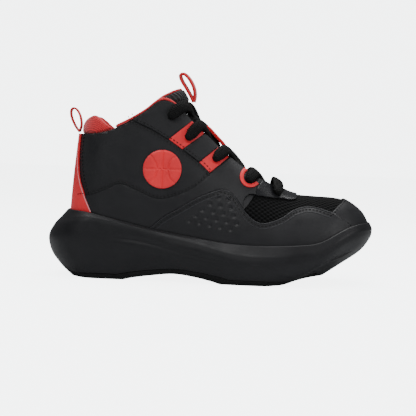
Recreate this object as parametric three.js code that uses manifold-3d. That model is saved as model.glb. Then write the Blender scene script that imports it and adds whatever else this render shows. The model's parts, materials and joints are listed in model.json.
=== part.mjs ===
// A right-foot basketball high top: sole, last-shaped upper cut into its panels, lining, tongue, lace and loops.
// Millimetres, +X towards the toe, +Y towards the medial side, +Z up. The origin is under the middle of the shoe.
import * as THREE from 'three';
import { mergeVertices } from 'three/addons/utils/BufferGeometryUtils.js';
import Module from 'manifold-3d';

const wasm = await Module();
wasm.setup();

// driving dimensions
const shoeLength = 240;          // heel-most to toe-most point of the sole
const shoeHeight = 152;          // ground to the top of the tongue loop
const ballWidth = 78;            // widest part of the upper
const patternLength = 240;       // the size that the pattern pieces below are drawn at
const patternHeight = 152;
const patternWidth = 78;

const gap = 0.3;                 // clearance between two pieces that touch
const seamGap = 0.5;             // width of a seam between two panels of one layer
const panelThickness = 1.2;      // base panels: quarters and vamp
const overlayThickness = 1.1;    // stitched overlays
const emblemThickness = 1.5;
const liningThickness = 0.8;
const stiffenerThickness = 1.1;  // heel counter and toe puff
const foamThickness = 3.6;       // collar foam
const boardThickness = 1.5;      // strobel board
const sockThickness = 4;         // sockliner
const tongueThickness = 3.5;
const flapSeat = 0.6;            // depth of the tongue's free top under the last
const laceDiameter = 3;
const laceSides = 8;
const laceLift = 0.2;            // the lace's rise over the eyestay beyond its clearance
const edgeLift = 0.3;            // and where it bends over the eyestay's edge
const laceSlack = 2.0;           // room that the lace has above itself inside the throat
const tongueSlack = 2.6;         // and below itself, over the tongue
const agletLength = 10;
const agletInset = 0.2;          // the aglet is this much slimmer than the lace, in radius
const bindingHeight = 2.2;
const treadDepth = 1.4;
const outsoleThickness = 3.6;
const heelLoopWidth = 9;
const tongueLoopWidth = 8;
const webbingThickness = 1.4;

// grading: pattern points drawn at the pattern size are graded to the shoe's size
const gradeX = shoeLength / patternLength;
const gradeY = ballWidth / patternWidth;
const gradeZ = shoeHeight / patternHeight;
const grade = (points) => points.map(([x, z]) => [x * gradeX, z * gradeZ]);

// a smooth curve z(x) through graded points with rising x, held level beyond its ends
function profile(points) {
  const p = grade(points);
  const slope = p.map((_, i) => {
    const a = p[Math.max(i - 1, 0)];
    const b = p[Math.min(i + 1, p.length - 1)];
    return (b[1] - a[1]) / (b[0] - a[0]);
  });
  return (x) => {
    if (x <= p[0][0]) return p[0][1];
    if (x >= p.at(-1)[0]) return p.at(-1)[1];
    let i = 0;
    while (x > p[i + 1][0]) i += 1;
    const width = p[i + 1][0] - p[i][0];
    const t = (x - p[i][0]) / width;
    const rise = p[i + 1][1] - p[i][1];
    const bend = slope[i] * width * (1 - t) - slope[i + 1] * width * t + rise * (2 * t - 1);
    return p[i][1] + rise * t + t * (1 - t) * bend;
  };
}

// a smooth plane curve through graded points, sampled evenly
function smooth(points, steps) {
  const curve = new THREE.SplineCurve(grade(points).map(([x, z]) => new THREE.Vector2(x, z)));
  return curve.getPoints(steps).map((p) => [p.x, p.y]);
}

const clamp = (value, low, high) => Math.min(Math.max(value, low), high);
const ease = (value, from, to) => {
  const t = clamp((value - from) / (to - from), 0, 1);
  return t * t * (3 - 2 * t);
};

// the last: the outside of the base panels
const lastBack = 16.6 * gradeX;
const lastTip = 235.8 * gradeX;
const heelRound = 25 * gradeX;   // length of the rounded heel, in plan
const toeRound = 66 * gradeX;    // length of the rounded toe, in plan
const toePower = 2.15;
const sectionPower = 2.12;       // 2 is an ellipse, more is boxier
const toeSwing = 5 * gradeY;     // how far the toe tip swings to the medial side
const heelLean = 4.4 * gradeX;   // how far the heel leans forward at the collar
const heelLeanTop = 104 * gradeZ;
const heelLeanFoot = 46 * gradeZ;
const ankleX = 96.5 * gradeX;    // the front of the ankle, where the instep line meets it
const ankleZ = 139.5 * gradeZ;
const ankleSlope = 1.75 * gradeZ / gradeX;

const widthLateral = profile([[16, 27.5], [60, 28.5], [95, 30], [130, 35.5], [168, 40], [200, 39.5], [236, 37]]);
const widthMedial = profile([[16, 27.5], [60, 27.5], [95, 25.5], [130, 30], [168, 38], [200, 39.5], [236, 38]]);
const footbed = profile([[16, 31], [50, 30], [90, 25.5], [125, 19.5], [160, 16.5], [190, 18.6], [212, 24],
  [226, 31], [236, 38.5]]);
const instep = profile([[96.5, 139.5], [104, 127], [112, 116], [120, 107], [130, 97.5], [146, 85.5], [158, 77],
  [168, 70.5], [180, 65.5], [196, 64.2], [210, 63.6], [218, 62], [226, 57.5], [232, 52], [235.8, 45.5]]);

const instepLine = (x) => (x < ankleX ? ankleZ + ankleSlope * (ankleX - x) : instep(x));
const centreLine = (x) => toeSwing * ease(x, 140 * gradeX, lastTip);
const lastX = (s) => lastBack + (lastTip - lastBack) * (1 - Math.cos(Math.PI * s)) / 2;

function halfWidth(side, x) {
  const graded = (side < 0 ? widthLateral(x) : widthMedial(x)) * gradeY / gradeZ;
  const heel = clamp(1 - (x - lastBack) / heelRound, 0, 1);
  const toe = clamp((x - (lastTip - toeRound)) / toeRound, 0, 1);
  return graded * Math.sqrt(1 - heel * heel) * (1 - toe ** toePower) ** (1 / toePower);
}

function lastPoint(side, s, v) {
  const x = lastX(clamp(s, 0, 1));
  const turn = clamp(v, 0, 1) * Math.PI / 2;
  const low = footbed(x);
  const z = low + (instepLine(x) - low) * Math.sin(turn) ** (2 / sectionPower);
  const lean = heelLean * clamp((z - heelLeanFoot) / (heelLeanTop - heelLeanFoot), 0, 1.3) ** 1.3;
  const heelShare = clamp(1 - (x - lastBack) / (45 * gradeX), 0, 1);
  return new THREE.Vector3(x + lean * heelShare,
    centreLine(x) + side * halfWidth(side, x) * Math.max(Math.cos(turn), 0) ** (2 / sectionPower), z);
}

function sideNormal(side, s, v) {
  const step = 0.004;
  const s0 = clamp(s, step * 2, 1 - step * 2);
  const v0 = clamp(v, step * 2, 1 - step * 2);
  const along = lastPoint(side, s0 + step, v0).sub(lastPoint(side, s0 - step, v0));
  const up = lastPoint(side, s0, v0 + step).sub(lastPoint(side, s0, v0 - step));
  return along.cross(up).multiplyScalar(-side).normalize();
}

// where the two sides meet, at the heel, the toe tip and the ridge, they share one normal
function lastNormal(side, s, v) {
  const normal = sideNormal(side, s, v);
  if (s > 0 && s < 1 && v < 1) return normal;
  normal.add(sideNormal(-side, s, v));
  if (s <= 0 || s >= 1) normal.y = 0;
  return normal.normalize();
}

// the height above which nothing is modelled over the ankle; 1 is the ridge
const collarLimit = profile([[16, 123], [50, 123], [80, 142], [96, 146]]);
function topShare(s) {
  const x = lastX(s);
  const low = footbed(x);
  const share = (collarLimit(x) - low) / (instepLine(x) - low);
  return share >= 1 ? 1 : Math.asin(share ** (sectionPower / 2)) * 2 / Math.PI;
}

// the station and share of the last that show at (x, z) in side view
const stationAt = (x) => Math.acos(clamp(1 - 2 * (x - lastBack) / (lastTip - lastBack), -1, 1)) / Math.PI;
function placeOnLast(side, x, z) {
  let s = stationAt(x);
  let v = 0;
  for (let pass = 0; pass < 4; pass += 1) {
    const low = footbed(lastX(s));
    const share = clamp((z - low) / (instepLine(lastX(s)) - low), 0, 1);
    v = Math.asin(share ** (sectionPower / 2)) * 2 / Math.PI;
    s = stationAt(lastX(s) + x - lastPoint(side, s, v).x);
  }
  return { s, v };
}
const offLast = (side, s, v, offset) => lastPoint(side, s, v).addScaledVector(lastNormal(side, s, v), offset);
function onLast(side, x, z, offset = 0) {
  const { s, v } = placeOnLast(side, x, z);
  return offLast(side, s, v, offset);
}

// solids
function solid(geometry) {
  const bare = geometry.index ? geometry.clone() : geometry;
  bare.deleteAttribute('normal');
  bare.deleteAttribute('uv');
  const merged = mergeVertices(bare, 1e-4);
  const triVerts = [];
  const index = merged.index.array;
  for (let i = 0; i < index.length; i += 3) {
    const [a, b, c] = [index[i], index[i + 1], index[i + 2]];
    if (a !== b && b !== c && c !== a) triVerts.push(a, b, c);
  }
  const vertProperties = merged.attributes.position.array;
  return new wasm.Manifold(new wasm.Mesh({ numProp: 3, vertProperties, triVerts: new Uint32Array(triVerts) }));
}

// a closed skin through rings of points; caps are strips that join a ring's two halves, or a fan
function loft(rings, cap) {
  const positions = [];
  const face = (...points) => points.forEach((p) => positions.push(p.x, p.y, p.z));
  const count = rings[0].length;
  for (let r = 0; r + 1 < rings.length; r += 1) {
    for (let i = 0; i < count; i += 1) {
      const j = (i + 1) % count;
      const [a, b, c, d] = [rings[r][i], rings[r][j], rings[r + 1][j], rings[r + 1][i]];
      face(a, b, c);
      face(a, c, d);
    }
  }
  const close = (ring, up) => {
    for (let i = 0; i < count / 2; i += 1) {
      const [a, b] = [ring[i], ring[i + 1]];
      const [c, d] = cap === 'strip'
        ? [ring[(count - i - 1) % count], ring[(count - i) % count]] : [ring[0], ring[0]];
      const quads = up ? [[a, b, c], [a, c, d]] : [[a, c, b], [a, d, c]];
      quads.forEach((q) => face(...q));
    }
  };
  const fan = (ring, up) => {
    for (let i = 1; i + 1 < count; i += 1) {
      if (up) face(ring[0], ring[i], ring[i + 1]);
      else face(ring[0], ring[i + 1], ring[i]);
    }
  };
  const shut = cap === 'strip' ? close : fan;
  shut(rings[0], false);
  shut(rings.at(-1), true);
  const geometry = new THREE.BufferGeometry();
  geometry.setAttribute('position', new THREE.Float32BufferAttribute(positions, 3));
  return solid(geometry);
}

// stations along one side, denser in the middle, and the full loop: lateral side to the toe, medial side back
const stationCount = 19;
const rowCount = 7;
const stations = Array.from({ length: stationCount + 1 }, (_, i) => {
  const u = i / stationCount;
  return u + 0.055 * Math.sin(2 * Math.PI * u);
});
const loopStations = [
  ...stations.map((s) => [-1, s]),
  ...stations.slice(1, -1).reverse().map((s) => [1, s]),
];

// the last grown by an offset; drop and rise carry its bottom and its open ankle end further
function lastBody(offset, drop = 0, rise = 0) {
  const rings = [];
  for (let row = 0; row <= rowCount; row += 1) {
    rings.push(loopStations.map(([side, s]) => {
      const v = topShare(s) * row / rowCount;
      const depth = typeof offset === 'function' ? offset(lastX(s), lastPoint(side, s, v).z) : offset;
      const point = lastPoint(side, s, v).addScaledVector(lastNormal(side, s, v), depth);
      if (row === 0) point.z = footbed(lastX(s));
      return point;
    }));
  }
  if (drop > 0) rings.unshift(rings[0].map((p) => new THREE.Vector3(p.x, p.y, p.z - drop)));
  if (rise > 0) {
    rings.push(rings.at(-1).map((p, i) => {
      const open = topShare(loopStations[i][1]) < 1;
      return new THREE.Vector3(p.x, p.y, p.z + (open ? rise : 0));
    }));
  }
  return loft(rings, 'strip');
}

const layer = (outer, inner) => lastBody(outer).subtract(lastBody(inner, 5, 5));

// the solid that a side-view outline sweeps across the shoe: one side, or both
const reach = 80;
function sweep(outline, side = 0) {
  const shape = new THREE.Shape(outline.map(([x, z]) => new THREE.Vector2(x, z)));
  const depth = side === 0 ? 2 * reach : reach;
  const geometry = new THREE.ExtrudeGeometry(shape, { depth, bevelEnabled: false });
  geometry.rotateX(Math.PI / 2);
  geometry.translate(0, side < 0 ? -seamGap / 2 : reach + (side > 0 ? seamGap / 2 : 0), 0);
  return solid(geometry);
}

// a thin swept ribbon along a side-view curve, between two distances from it
function ribbon(curve, below, above, side = 0) {
  const shifted = (distance) => curve.map(([x, z], i) => {
    const a = curve[Math.max(i - 1, 0)];
    const b = curve[Math.min(i + 1, curve.length - 1)];
    const length = Math.hypot(b[0] - a[0], b[1] - a[1]);
    return [x - (b[1] - a[1]) / length * distance, z + (b[0] - a[0]) / length * distance];
  });
  return sweep([...shifted(below), ...shifted(above).reverse()], side);
}

const sides = [['lateral', -1], ['medial', 1]];
const shoe = new THREE.Group();

function addPiece(name, body, color, roughness, metalness = 0) {
  const { vertProperties, triVerts, numProp } = body.getMesh();
  const geometry = new THREE.BufferGeometry();
  const positions = new Float32Array(vertProperties.length / numProp * 3);
  for (let i = 0; i < positions.length / 3; i += 1) {
    for (let k = 0; k < 3; k += 1) positions[3 * i + k] = vertProperties[numProp * i + k];
  }
  geometry.setAttribute('position', new THREE.BufferAttribute(positions, 3));
  geometry.setIndex(new THREE.BufferAttribute(triVerts, 1));
  geometry.computeVertexNormals();
  const mesh = new THREE.Mesh(geometry, new THREE.MeshStandardMaterial({ color, roughness, metalness }));
  mesh.name = name;
  shoe.add(mesh);
  return mesh;
}

const black = 0x242428;
const darkMesh = 0x161618;
const red = 0xcf3a40;
const liningGrey = 0x3c3c40;
const fibre = 0xd8d2c4;
const agletGrey = 0x8a8a8c;

// the pattern: side-view curves that part the upper into its panels
const backstayEdge = smooth([[22.4, 106], [21.4, 94.6], [21.8, 82.5], [23.9, 70.4], [27.9, 59.3], [34.1, 46.1],
  [38, 28]], 12);
const topLine = smooth([[14, 104.2], [33, 104.2], [41, 105.8], [50.3, 109.7], [60.5, 115.2], [70, 121.6],
  [77.5, 128], [81.6, 129.7], [86, 129], [92.5, 125.2], [96, 122.6]], 24);
const throatEdgePoints = [[84, 134], [92.5, 126.4], [103, 115.6], [114.5, 105.2], [123.3, 96.8], [138, 85.2],
  [154.4, 74.9], [170, 68.4], [173.5, 67.4]];
const throatEdge = smooth(throatEdgePoints, 20);
const eyestaySeam = smooth([[59, 118], [62, 114.4], [74.5, 109], [86, 102.4], [97.6, 95], [110, 86.2],
  [118.2, 78.5]], 12);
const waveSeam = smooth([[22, 58.5], [34.3, 60.8], [43.8, 64.8], [51, 68.6], [56.6, 68.4], [65.6, 64.8], [76.3, 60.2],
  [84.4, 59.2], [96.3, 63], [108.2, 69.2], [118.2, 78.5]], 26);
const mudguardEdge = smooth([[58, 24], [66, 31], [76, 38.3], [84.9, 46.1], [95.4, 52.5], [109.3, 60.9],
  [123.3, 66.6], [129.7, 67], [136.1, 62.7], [142.5, 54.1], [149.8, 46.9], [157.8, 44.6], [169.1, 48.2],
  [177.7, 53.6], [186.4, 56.3], [195.1, 56.2], [206.6, 53], [217.4, 46.6], [224.7, 39.8], [230, 30],
  [232, 22]], 44);
const toeCapEdge = smooth([[206.6, 53], [212, 58.2], [218.5, 63.4], [223, 68]], 6);
const saddleFront = smooth([[160, 80], [154.2, 73], [151.3, 67.8], [151.2, 64.6], [146.6, 64.9], [143.2, 61.6],
  [142.6, 58], [143.2, 50]], 12);
const vampSeam = smooth([[158, 90], [154.6, 75], [149.5, 62], [140, 50], [134.5, 38], [133, 22], [133, 4]], 10);

const high = 220;
const above = (curve) => [...curve, [curve.at(-1)[0], high], [curve[0][0], high]];
const below = (curve) => [...curve, [curve.at(-1)[0], -high], [curve[0][0], -high]];
const behind = (curve) => [...curve, [curve.at(-1)[0], -high], [-high, -high], [-high, high], [curve[0][0], high]];
const box = (x0, x1, z0, z1) => grade([[x0, z0], [x1, z0], [x1, z1], [x0, z1]]);
const seam = (curve) => ribbon(curve, -seamGap / 2, seamGap / 2);

const openings = sweep(above(topLine)).add(sweep(above(throatEdge)));

// red windows between the eyestay parts, from the seam to the throat
const upperWindow = grade([[87, 102.3], [97.3, 95.2], [118, 111.5], [107, 119.5]]);
const lowerWindow = grade([[109.4, 86.4], [117.8, 79.3], [136, 95.2], [128, 102.5]]);
const eyestayRegion = [...eyestaySeam, ...grade([[137, 94.5], [137, high], [59, high]])];
const quarterTop = [...waveSeam, ...grade([[137, 94.5], [137, high], [10, high], [10, 58.5]])];

// base panels
const eyeletPattern = [[166, 65.2], [145.2, 74], [121, 88.6], [100.8, 103.6], [87.6, 118.6]];
const eyelets = grade(eyeletPattern);
const eyeletBore = laceDiameter + 4 * gap;
const boreDepth = 16;

function bore(side, [x, z]) {
  const centre = onLast(side, x, z);
  const axis = onLast(side, x, z, 1).sub(centre).normalize();
  const geometry = new THREE.CylinderGeometry(eyeletBore / 2, eyeletBore / 2, boreDepth, 8);
  geometry.applyQuaternion(new THREE.Quaternion().setFromUnitVectors(new THREE.Vector3(0, 1, 0), axis));
  geometry.translate(centre.x, centre.y, centre.z);
  return solid(geometry);
}
const bores = sides.flatMap(([, side]) => eyelets.map((place) => bore(side, place)))
  .reduce((all, one) => all.add(one));

const base = layer(0, -panelThickness).subtract(openings).subtract(bores);
const overlayTop = gap + overlayThickness;
const overlay = layer(overlayTop, gap).subtract(openings).subtract(bores);

for (const [name, side] of sides) {
  const quarter = base.intersect(sweep(behind(vampSeam), side)).subtract(seam(vampSeam));
  addPiece(`quarter_${name}`, quarter, black, 0.55);
}
addPiece('vamp_mesh', base.subtract(sweep(behind(vampSeam))).subtract(seam(vampSeam)), darkMesh, 0.9);

// overlays
const backstay = sweep(behind(backstayEdge));
const toeCapRegion = sweep([...toeCapEdge, ...grade([[260, 68], [260, -20], [232, -20], [232, 22]]),
  ...mudguardEdge.filter(([x]) => x > toeCapEdge[0][0]).reverse()]);
const seams = [backstayEdge, eyestaySeam, waveSeam, mudguardEdge, toeCapEdge, saddleFront].map(seam)
  .reduce((all, one) => all.add(one));
const windowEdges = [upperWindow, lowerWindow].flatMap((w) => [[w[0], w[3]], [w[1], w[2]]]).map(seam)
  .reduce((all, one) => all.add(one));

addPiece('heel_backstay', overlay.intersect(backstay).subtract(seam(backstayEdge)), red, 0.5);
addPiece('toe_cap', overlay.intersect(toeCapRegion).subtract(seams), black, 0.5);

const tipRegion = [...saddleFront.slice(0, 8), ...grade([[176.2, 62.2], [181.8, 63.4], [184, 74], [168, 90]])];
addPiece('throat_tip', overlay.intersect(sweep(tipRegion)).subtract(seams), 0x3a3a3e, 0.3);

for (const [name, side] of sides) {
  const half = overlay.intersect(sweep(box(-20, 260, -20, high), side)).subtract(seams).subtract(windowEdges);
  const mudguard = half.intersect(sweep(below(mudguardEdge))).subtract(toeCapRegion);
  addPiece(`mudguard_${name}`, mudguard, black, 0.5);
  const saddle = half.subtract(sweep(below(mudguardEdge))).subtract(backstay).subtract(sweep(quarterTop))
    .intersect(sweep(behind(saddleFront)));
  addPiece(`saddle_${name}`, saddle, black, 0.5);
  const windows = half.intersect(sweep(eyestayRegion));
  const eyestay = windows.subtract(sweep(upperWindow)).subtract(sweep(lowerWindow));
  const middlePart = sweep([upperWindow[1], upperWindow[2], lowerWindow[3], lowerWindow[0]]);
  const upperPart = sweep([upperWindow[0], upperWindow[3], ...grade([[107, high], [20, high], [20, 102]])]);
  addPiece(`eyestay_upper_${name}`, eyestay.intersect(upperPart), black, 0.5);
  addPiece(`eyestay_middle_${name}`, eyestay.intersect(middlePart), black, 0.5);
  addPiece(`lace_window_upper_${name}`, windows.intersect(sweep(upperWindow)), red, 0.6);
  addPiece(`lace_window_lower_${name}`, windows.intersect(sweep(lowerWindow)), red, 0.6);
}

const emblemRadius = 13.8;
const emblemPlace = grade([[83.3, 80.4]])[0];
const circle = ([x, z], radius, steps = 20) => Array.from({ length: steps }, (_, i) => {
  const turn = i / steps * 2 * Math.PI;
  return [x + radius * Math.cos(turn), z + radius * Math.sin(turn)];
});
const emblem = layer(gap + emblemThickness, gap).intersect(sweep(circle(emblemPlace, emblemRadius), -1));
addPiece('emblem_roundel', emblem, red, 0.5);

// linings, stiffeners and padding
const underPanel = panelThickness + gap;
const pocket = stiffenerThickness + gap;

// how far the lining lies under the last: deeper over the counter, the toe puff and the collar foam
function liningDepth(x, z) {
  const counter = 1 - ease(x, 76 * gradeX, 90 * gradeX);
  const puff = ease(x, 186 * gradeX, 198 * gradeX);
  const foam = ease(z, 80 * gradeZ, 88 * gradeZ) * (1 - ease(x, 70 * gradeX, 82 * gradeX));
  return underPanel + pocket * Math.max(counter, puff) + (foamThickness + gap - pocket) * foam;
}
const lining = lastBody((x, z) => -liningDepth(x, z))
  .subtract(lastBody((x, z) => -liningDepth(x, z) - liningThickness, 5, 5)).subtract(openings).subtract(bores);
const pocketLayer = layer(-underPanel, -underPanel - stiffenerThickness);
const liningSeam = 140;
const counterHeight = 76;
const heelZone = 66;             // the counter and the collar foam end here
const foamStart = 90;
const puffStart = 203;

addPiece('quarter_lining', lining.intersect(sweep(box(-20, liningSeam, -20, high))), red, 0.85);
const vampLining = lining.intersect(sweep(box(liningSeam + seamGap, 260, -20, high)));
addPiece('heel_counter', pocketLayer.intersect(sweep(box(-20, heelZone, -20, counterHeight))), fibre, 0.7);
addPiece('toe_puff', pocketLayer.intersect(sweep(box(puffStart, 260, -20, high))), fibre, 0.7);

const foamLayer = lastBody(-underPanel)
  .subtract(lastBody((x, z) => Math.min(gap - liningDepth(x, z), -underPanel - gap), 5, 5));
addPiece('collar_foam', foamLayer.subtract(openings)
  .intersect(sweep(box(-20, heelZone, foamStart, high))), 0xe2d9a0, 0.95);

const padSetback = 2.4;          // the padded heel tab sits inside the quarter's top edge
const padDepth = underPanel + foamThickness + gap + liningThickness;
const padOutline = smooth([[14, 105.2], [20, 110], [22.5, 114.4], [26, 116.9], [30.2, 117.9], [35.6, 115.6],
  [41, 112.4], [46.5, 109.4]], 14);
const topLineLifted = topLine.map(([x, z]) => [x, z + gap]).filter(([x]) => x < 46.5 * gradeX);
addPiece('heel_pad', lastBody(-padSetback).subtract(lastBody(-padDepth, 5, 5))
  .intersect(sweep([...topLineLifted, ...padOutline.slice(1).reverse()])), red, 0.85);

const bindingLine = topLine.filter(([x]) => x > 48 * gradeX && x < 92.6 * gradeX);
const bindingLayer = lastBody(overlayTop)
  .subtract(lastBody((x, z) => -liningDepth(x, z) - liningThickness - gap, 5, 5)).subtract(sweep(above(throatEdge)));
for (const [name, side] of sides) {
  const edge = ribbon(bindingLine, gap, gap + bindingHeight, side);
  addPiece(`collar_binding_${name}`, bindingLayer.intersect(edge), red, 0.6);
}

// board and sockliner
function plate(offset, low, top) {
  const ring = (lift) => loopStations.map(([side, s]) => {
    const point = lastPoint(side, s, 0);
    const outward = lastNormal(side, s, 0).setZ(0).normalize();
    point.addScaledVector(outward, offset);
    point.z = footbed(point.x) + lift;
    return point;
  });
  return loft([ring(low), ring(top)], 'strip');
}
const sockInset = 5.2;
addPiece('strobel_board', plate(0, -gap - boardThickness, -gap), 0xcfc8b8, 0.9);
addPiece('sockliner', plate(-sockInset, gap, gap + sockThickness), 0x303034, 0.9);

// sole
const groundCurve = profile([[0, 0.9], [22, 0.9], [29, -0.8], [53, -0.8], [64, 1.6], [78, 3.8], [94, 5.6],
  [109, 4.2], [122, 1.6], [132, -0.8], [168, -0.8], [188, 2.9], [201, 7.1], [214, 13.7], [225, 20.3],
  [233, 26.8], [240, 36]]);
const ground = (x) => Math.max(groundCurve(x), 0);
const midsoleTop = profile([[13, 48.4], [34.8, 46.6], [57, 41.8], [77.6, 37.3], [108, 32.4], [126, 29.8],
  [143.5, 28.6], [161, 28.6], [182.9, 29.7], [200.4, 31.6], [213.5, 34.8], [225, 38.9], [237.6, 45.6]]);
const lipHeight = profile([[0, 4], [57, 1.4], [108, 1.6], [143, 5.6], [190, 5.2], [225, 3.2], [240, 2.6]]);

// one loop of the sole: its two ends, its flare beyond the upper, its height at the ends and between them
function soleLoop({ back, front, flare, backZ, frontZ, height }) {
  return loopStations.map(([side, s]) => {
    const share = (1 - Math.cos(Math.PI * s)) / 2;
    const x = (back + (front - back) * share) * gradeX;
    const lastShare = lastBack + (lastTip - lastBack) * share;
    const round = Math.sqrt(Math.max(1 - (2 * share - 1) ** 6, 0));
    const y = halfWidth(side, lastShare) + flare * round;
    const endShare = (1 - ease(x, back * gradeX, (back + 26) * gradeX)) * backZ
      + ease(x, (front - 46) * gradeX, front * gradeX) * frontZ;
    const middle = ease(x, back * gradeX, (back + 26) * gradeX) * (1 - ease(x, (front - 46) * gradeX, front * gradeX));
    return new THREE.Vector3(x, centreLine(x) + side * (s === 0 || s === 1 ? 0 : y),
      endShare * gradeZ + middle * height(x));
  });
}
const between = (share) => (x) => ground(x) + (midsoleTop(x) - lipHeight(x) - ground(x)) * share;
const soleLoops = [
  { back: 17.9, front: 205, flare: 0.5, backZ: 0, frontZ: 6.4, height: ground },
  { back: 10, front: 217, flare: 3.2, backZ: 7.2, frontZ: 14.6, height: (x) => ground(x) + 2.2 },
  { back: 2.6, front: 231.5, flare: 5.6, backZ: 17, frontZ: 25, height: between(0.38) },
  { back: 0, front: 238.6, flare: 6.6, backZ: 28, frontZ: 34.6, height: between(0.68) },
  { back: 3.8, front: 240, flare: 6, backZ: 37, frontZ: 40.4, height: between(0.9) },
  { back: 8.8, front: 239.6, flare: 5.4, backZ: 42.8, frontZ: 43, height: between(1) },
  { back: 13.4, front: 238.2, flare: 3.4, backZ: 48.2, frontZ: 45.8, height: midsoleTop },
];
const recessDrop = boardThickness + 2 * gap;
const recess = lastBody(overlayTop + gap, recessDrop, 5);
const soleBody = loft(soleLoops.map(soleLoop), 'strip').subtract(recess);

const groundLine = Array.from({ length: 25 }, (_, i) => i * shoeLength / 24);
const outsoleEnd = 228 * gradeX;
const outsoleTop = groundLine.map((x) => [x,
  ground(x) + outsoleThickness * (1 - ease(x, 208 * gradeX, outsoleEnd)) - 2 * ease(x, 222 * gradeX, outsoleEnd)]);
let outsole = soleBody.intersect(sweep(below(outsoleTop)));
const midsole = soleBody.subtract(sweep(below(outsoleTop.map(([x, z]) => [x, z + gap]))));

// flat contact patches under the heel and the ball, and grooves across the tread
const grooveWidth = 2.4;
const grooves = [28, 54, 64, 124, 138, 152, 166, 180, 194].map((x) => {
  const groove = new THREE.BoxGeometry(grooveWidth, 2 * reach, 2 * treadDepth);
  groove.translate(x * gradeX, 0, ground(x * gradeX));
  return solid(groove);
});
outsole = grooves.reduce((body, groove) => body.subtract(groove), outsole);
addPiece('midsole', midsole, 0x2a2a2e, 0.7);
addPiece('outsole', outsole, 0x1e1e21, 0.85);

// tongue
const laceDepth = underPanel + liningThickness + laceSlack + laceDiameter / 2;
const tongueSeat = laceDepth + laceDiameter / 2 + tongueSlack;
function tongueDepth(x, z) {
  const free = ease(z, 127 * gradeZ, 133 * gradeZ) * ease(x, 88 * gradeX, 96 * gradeX);
  return tongueSeat - (tongueSeat - flapSeat) * free;
}
const tongueLayer = lastBody((x, z) => -tongueDepth(x, z))
  .subtract(lastBody((x, z) => -tongueDepth(x, z) - tongueThickness, 5, 5));
const flapLine = [[79, 131.4], [107.5, 127.4]];
const flapOutline = grade([flapLine[1], [108, 142], [97, 140.4], [92.4, 139.9], [88, 138.2], [83.7, 135.9],
  flapLine[0]]);
const tongueOutline = grade([...flapLine, [120, 125], [150, 102], [181, 76], [181, 60], [172, 58], [160, 60],
  [140, 69], [120, 81.5], [106, 93], [94, 106], [86, 118]]);
addPiece('tongue_flap', tongueLayer.intersect(sweep(flapOutline)).subtract(seam(grade(flapLine))), darkMesh, 0.9);

const tabOutline = grade([[121, 90], [127, 84], [143, 94], [135, 103]]);
const tabHalf = 8;
const tabThickness = 2.4;
const tab = lastBody(gap - tongueSeat + tabThickness).subtract(lastBody(gap - tongueSeat, 5, 5))
  .intersect(sweep(tabOutline));
const tabBox = new THREE.BoxGeometry(60, 2 * tabHalf, 90);
tabBox.translate(132 * gradeX, centreLine(132 * gradeX), 96 * gradeZ);
addPiece('tongue_tab', tab.intersect(solid(tabBox)), red, 0.6);

// lace: from its tucked end through the eyelets of both sides
const laceOver = overlayTop + gap + laceDiameter / 2 + laceLift;
const throatHeight = profile(throatEdgePoints);
const crossingRise = 8 * gradeZ; // a strand passes the ridge this far above the mean of its two eyelets

function ridgeAt(height) {
  let [low, tall] = [ankleX, lastTip];
  for (let pass = 0; pass < 30; pass += 1) {
    const x = (low + tall) / 2;
    if (instepLine(x) > height) low = x;
    else tall = x;
  }
  return low;
}

// one strand from under one side's eyelet, over the tongue, to the next eyelet up on the other side
function crossing(from, rowFrom, to, rowTo, level) {
  const start = placeOnLast(from, ...eyelets[rowFrom]);
  const end = placeOnLast(to, ...eyelets[rowTo]);
  const middleX = ridgeAt((eyelets[rowFrom][1] + eyelets[rowTo][1]) / 2 + crossingRise);
  const middleS = stationAt(middleX);
  const nearX = eyelets[rowFrom][0] * 0.8 + middleX * 0.2;
  const farX = eyelets[rowTo][0] * 0.7 + middleX * 0.3;
  const near = placeOnLast(from, nearX, Math.max(throatHeight(nearX), eyelets[rowFrom][1] + 1));
  const far = placeOnLast(to, farX, Math.max(throatHeight(farX), eyelets[rowTo][1] + 1));
  return [
    offLast(from, start.s, start.v, -laceDepth),
    offLast(from, near.s, near.v, -laceDepth),
    offLast(from, (near.s + middleS) / 2, (near.v + 1) / 2, (level - laceDepth) / 2),
    offLast(from, middleS, 1, level),
    offLast(to, (far.s + middleS) / 2, (far.v + 1) / 2, (level + laceOver) / 2),
    offLast(to, far.s, far.v, laceOver + edgeLift),
    offLast(to, end.s, end.v, laceOver),
    offLast(to, end.s, end.v, 0),
  ];
}

const tailDrop = 10;             // the lace's ends hang down inside from the top eyelets
const tailLean = 1;
const tailSink = 0.8;
function lacePath() {
  const under = -laceDepth;
  const over = under + laceDiameter + gap;
  const last = eyelets.length - 1;
  const strand = (side, level) => {
    const points = [];
    for (let row = 0; row < last; row += 1) {
      points.push(...crossing(side, row, -side, row + 1, row % 2 === 0 ? level : under + over - level));
      side = -side;
    }
    const [x, z] = eyelets[last];
    points.push(onLast(side, x, z, under), onLast(side, x, z - 4 * gradeZ, under - tailSink),
      onLast(side, x + tailLean, z - tailDrop, under - tailSink));
    return points;
  };
  const [barX, barZ] = eyelets[0];
  const bar = (side) => {
    const { s, v } = placeOnLast(side, barX, barZ);
    return [offLast(side, s, v, 0), offLast(side, s, v, laceOver), offLast(side, s, (v + 1) / 2, laceOver + laceLift)];
  };
  return [
    ...strand(1, under).reverse(), ...bar(1), offLast(1, stationAt(barX), 1, laceOver + laceLift),
    ...bar(-1).reverse(), ...strand(-1, over),
  ];
}

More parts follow.
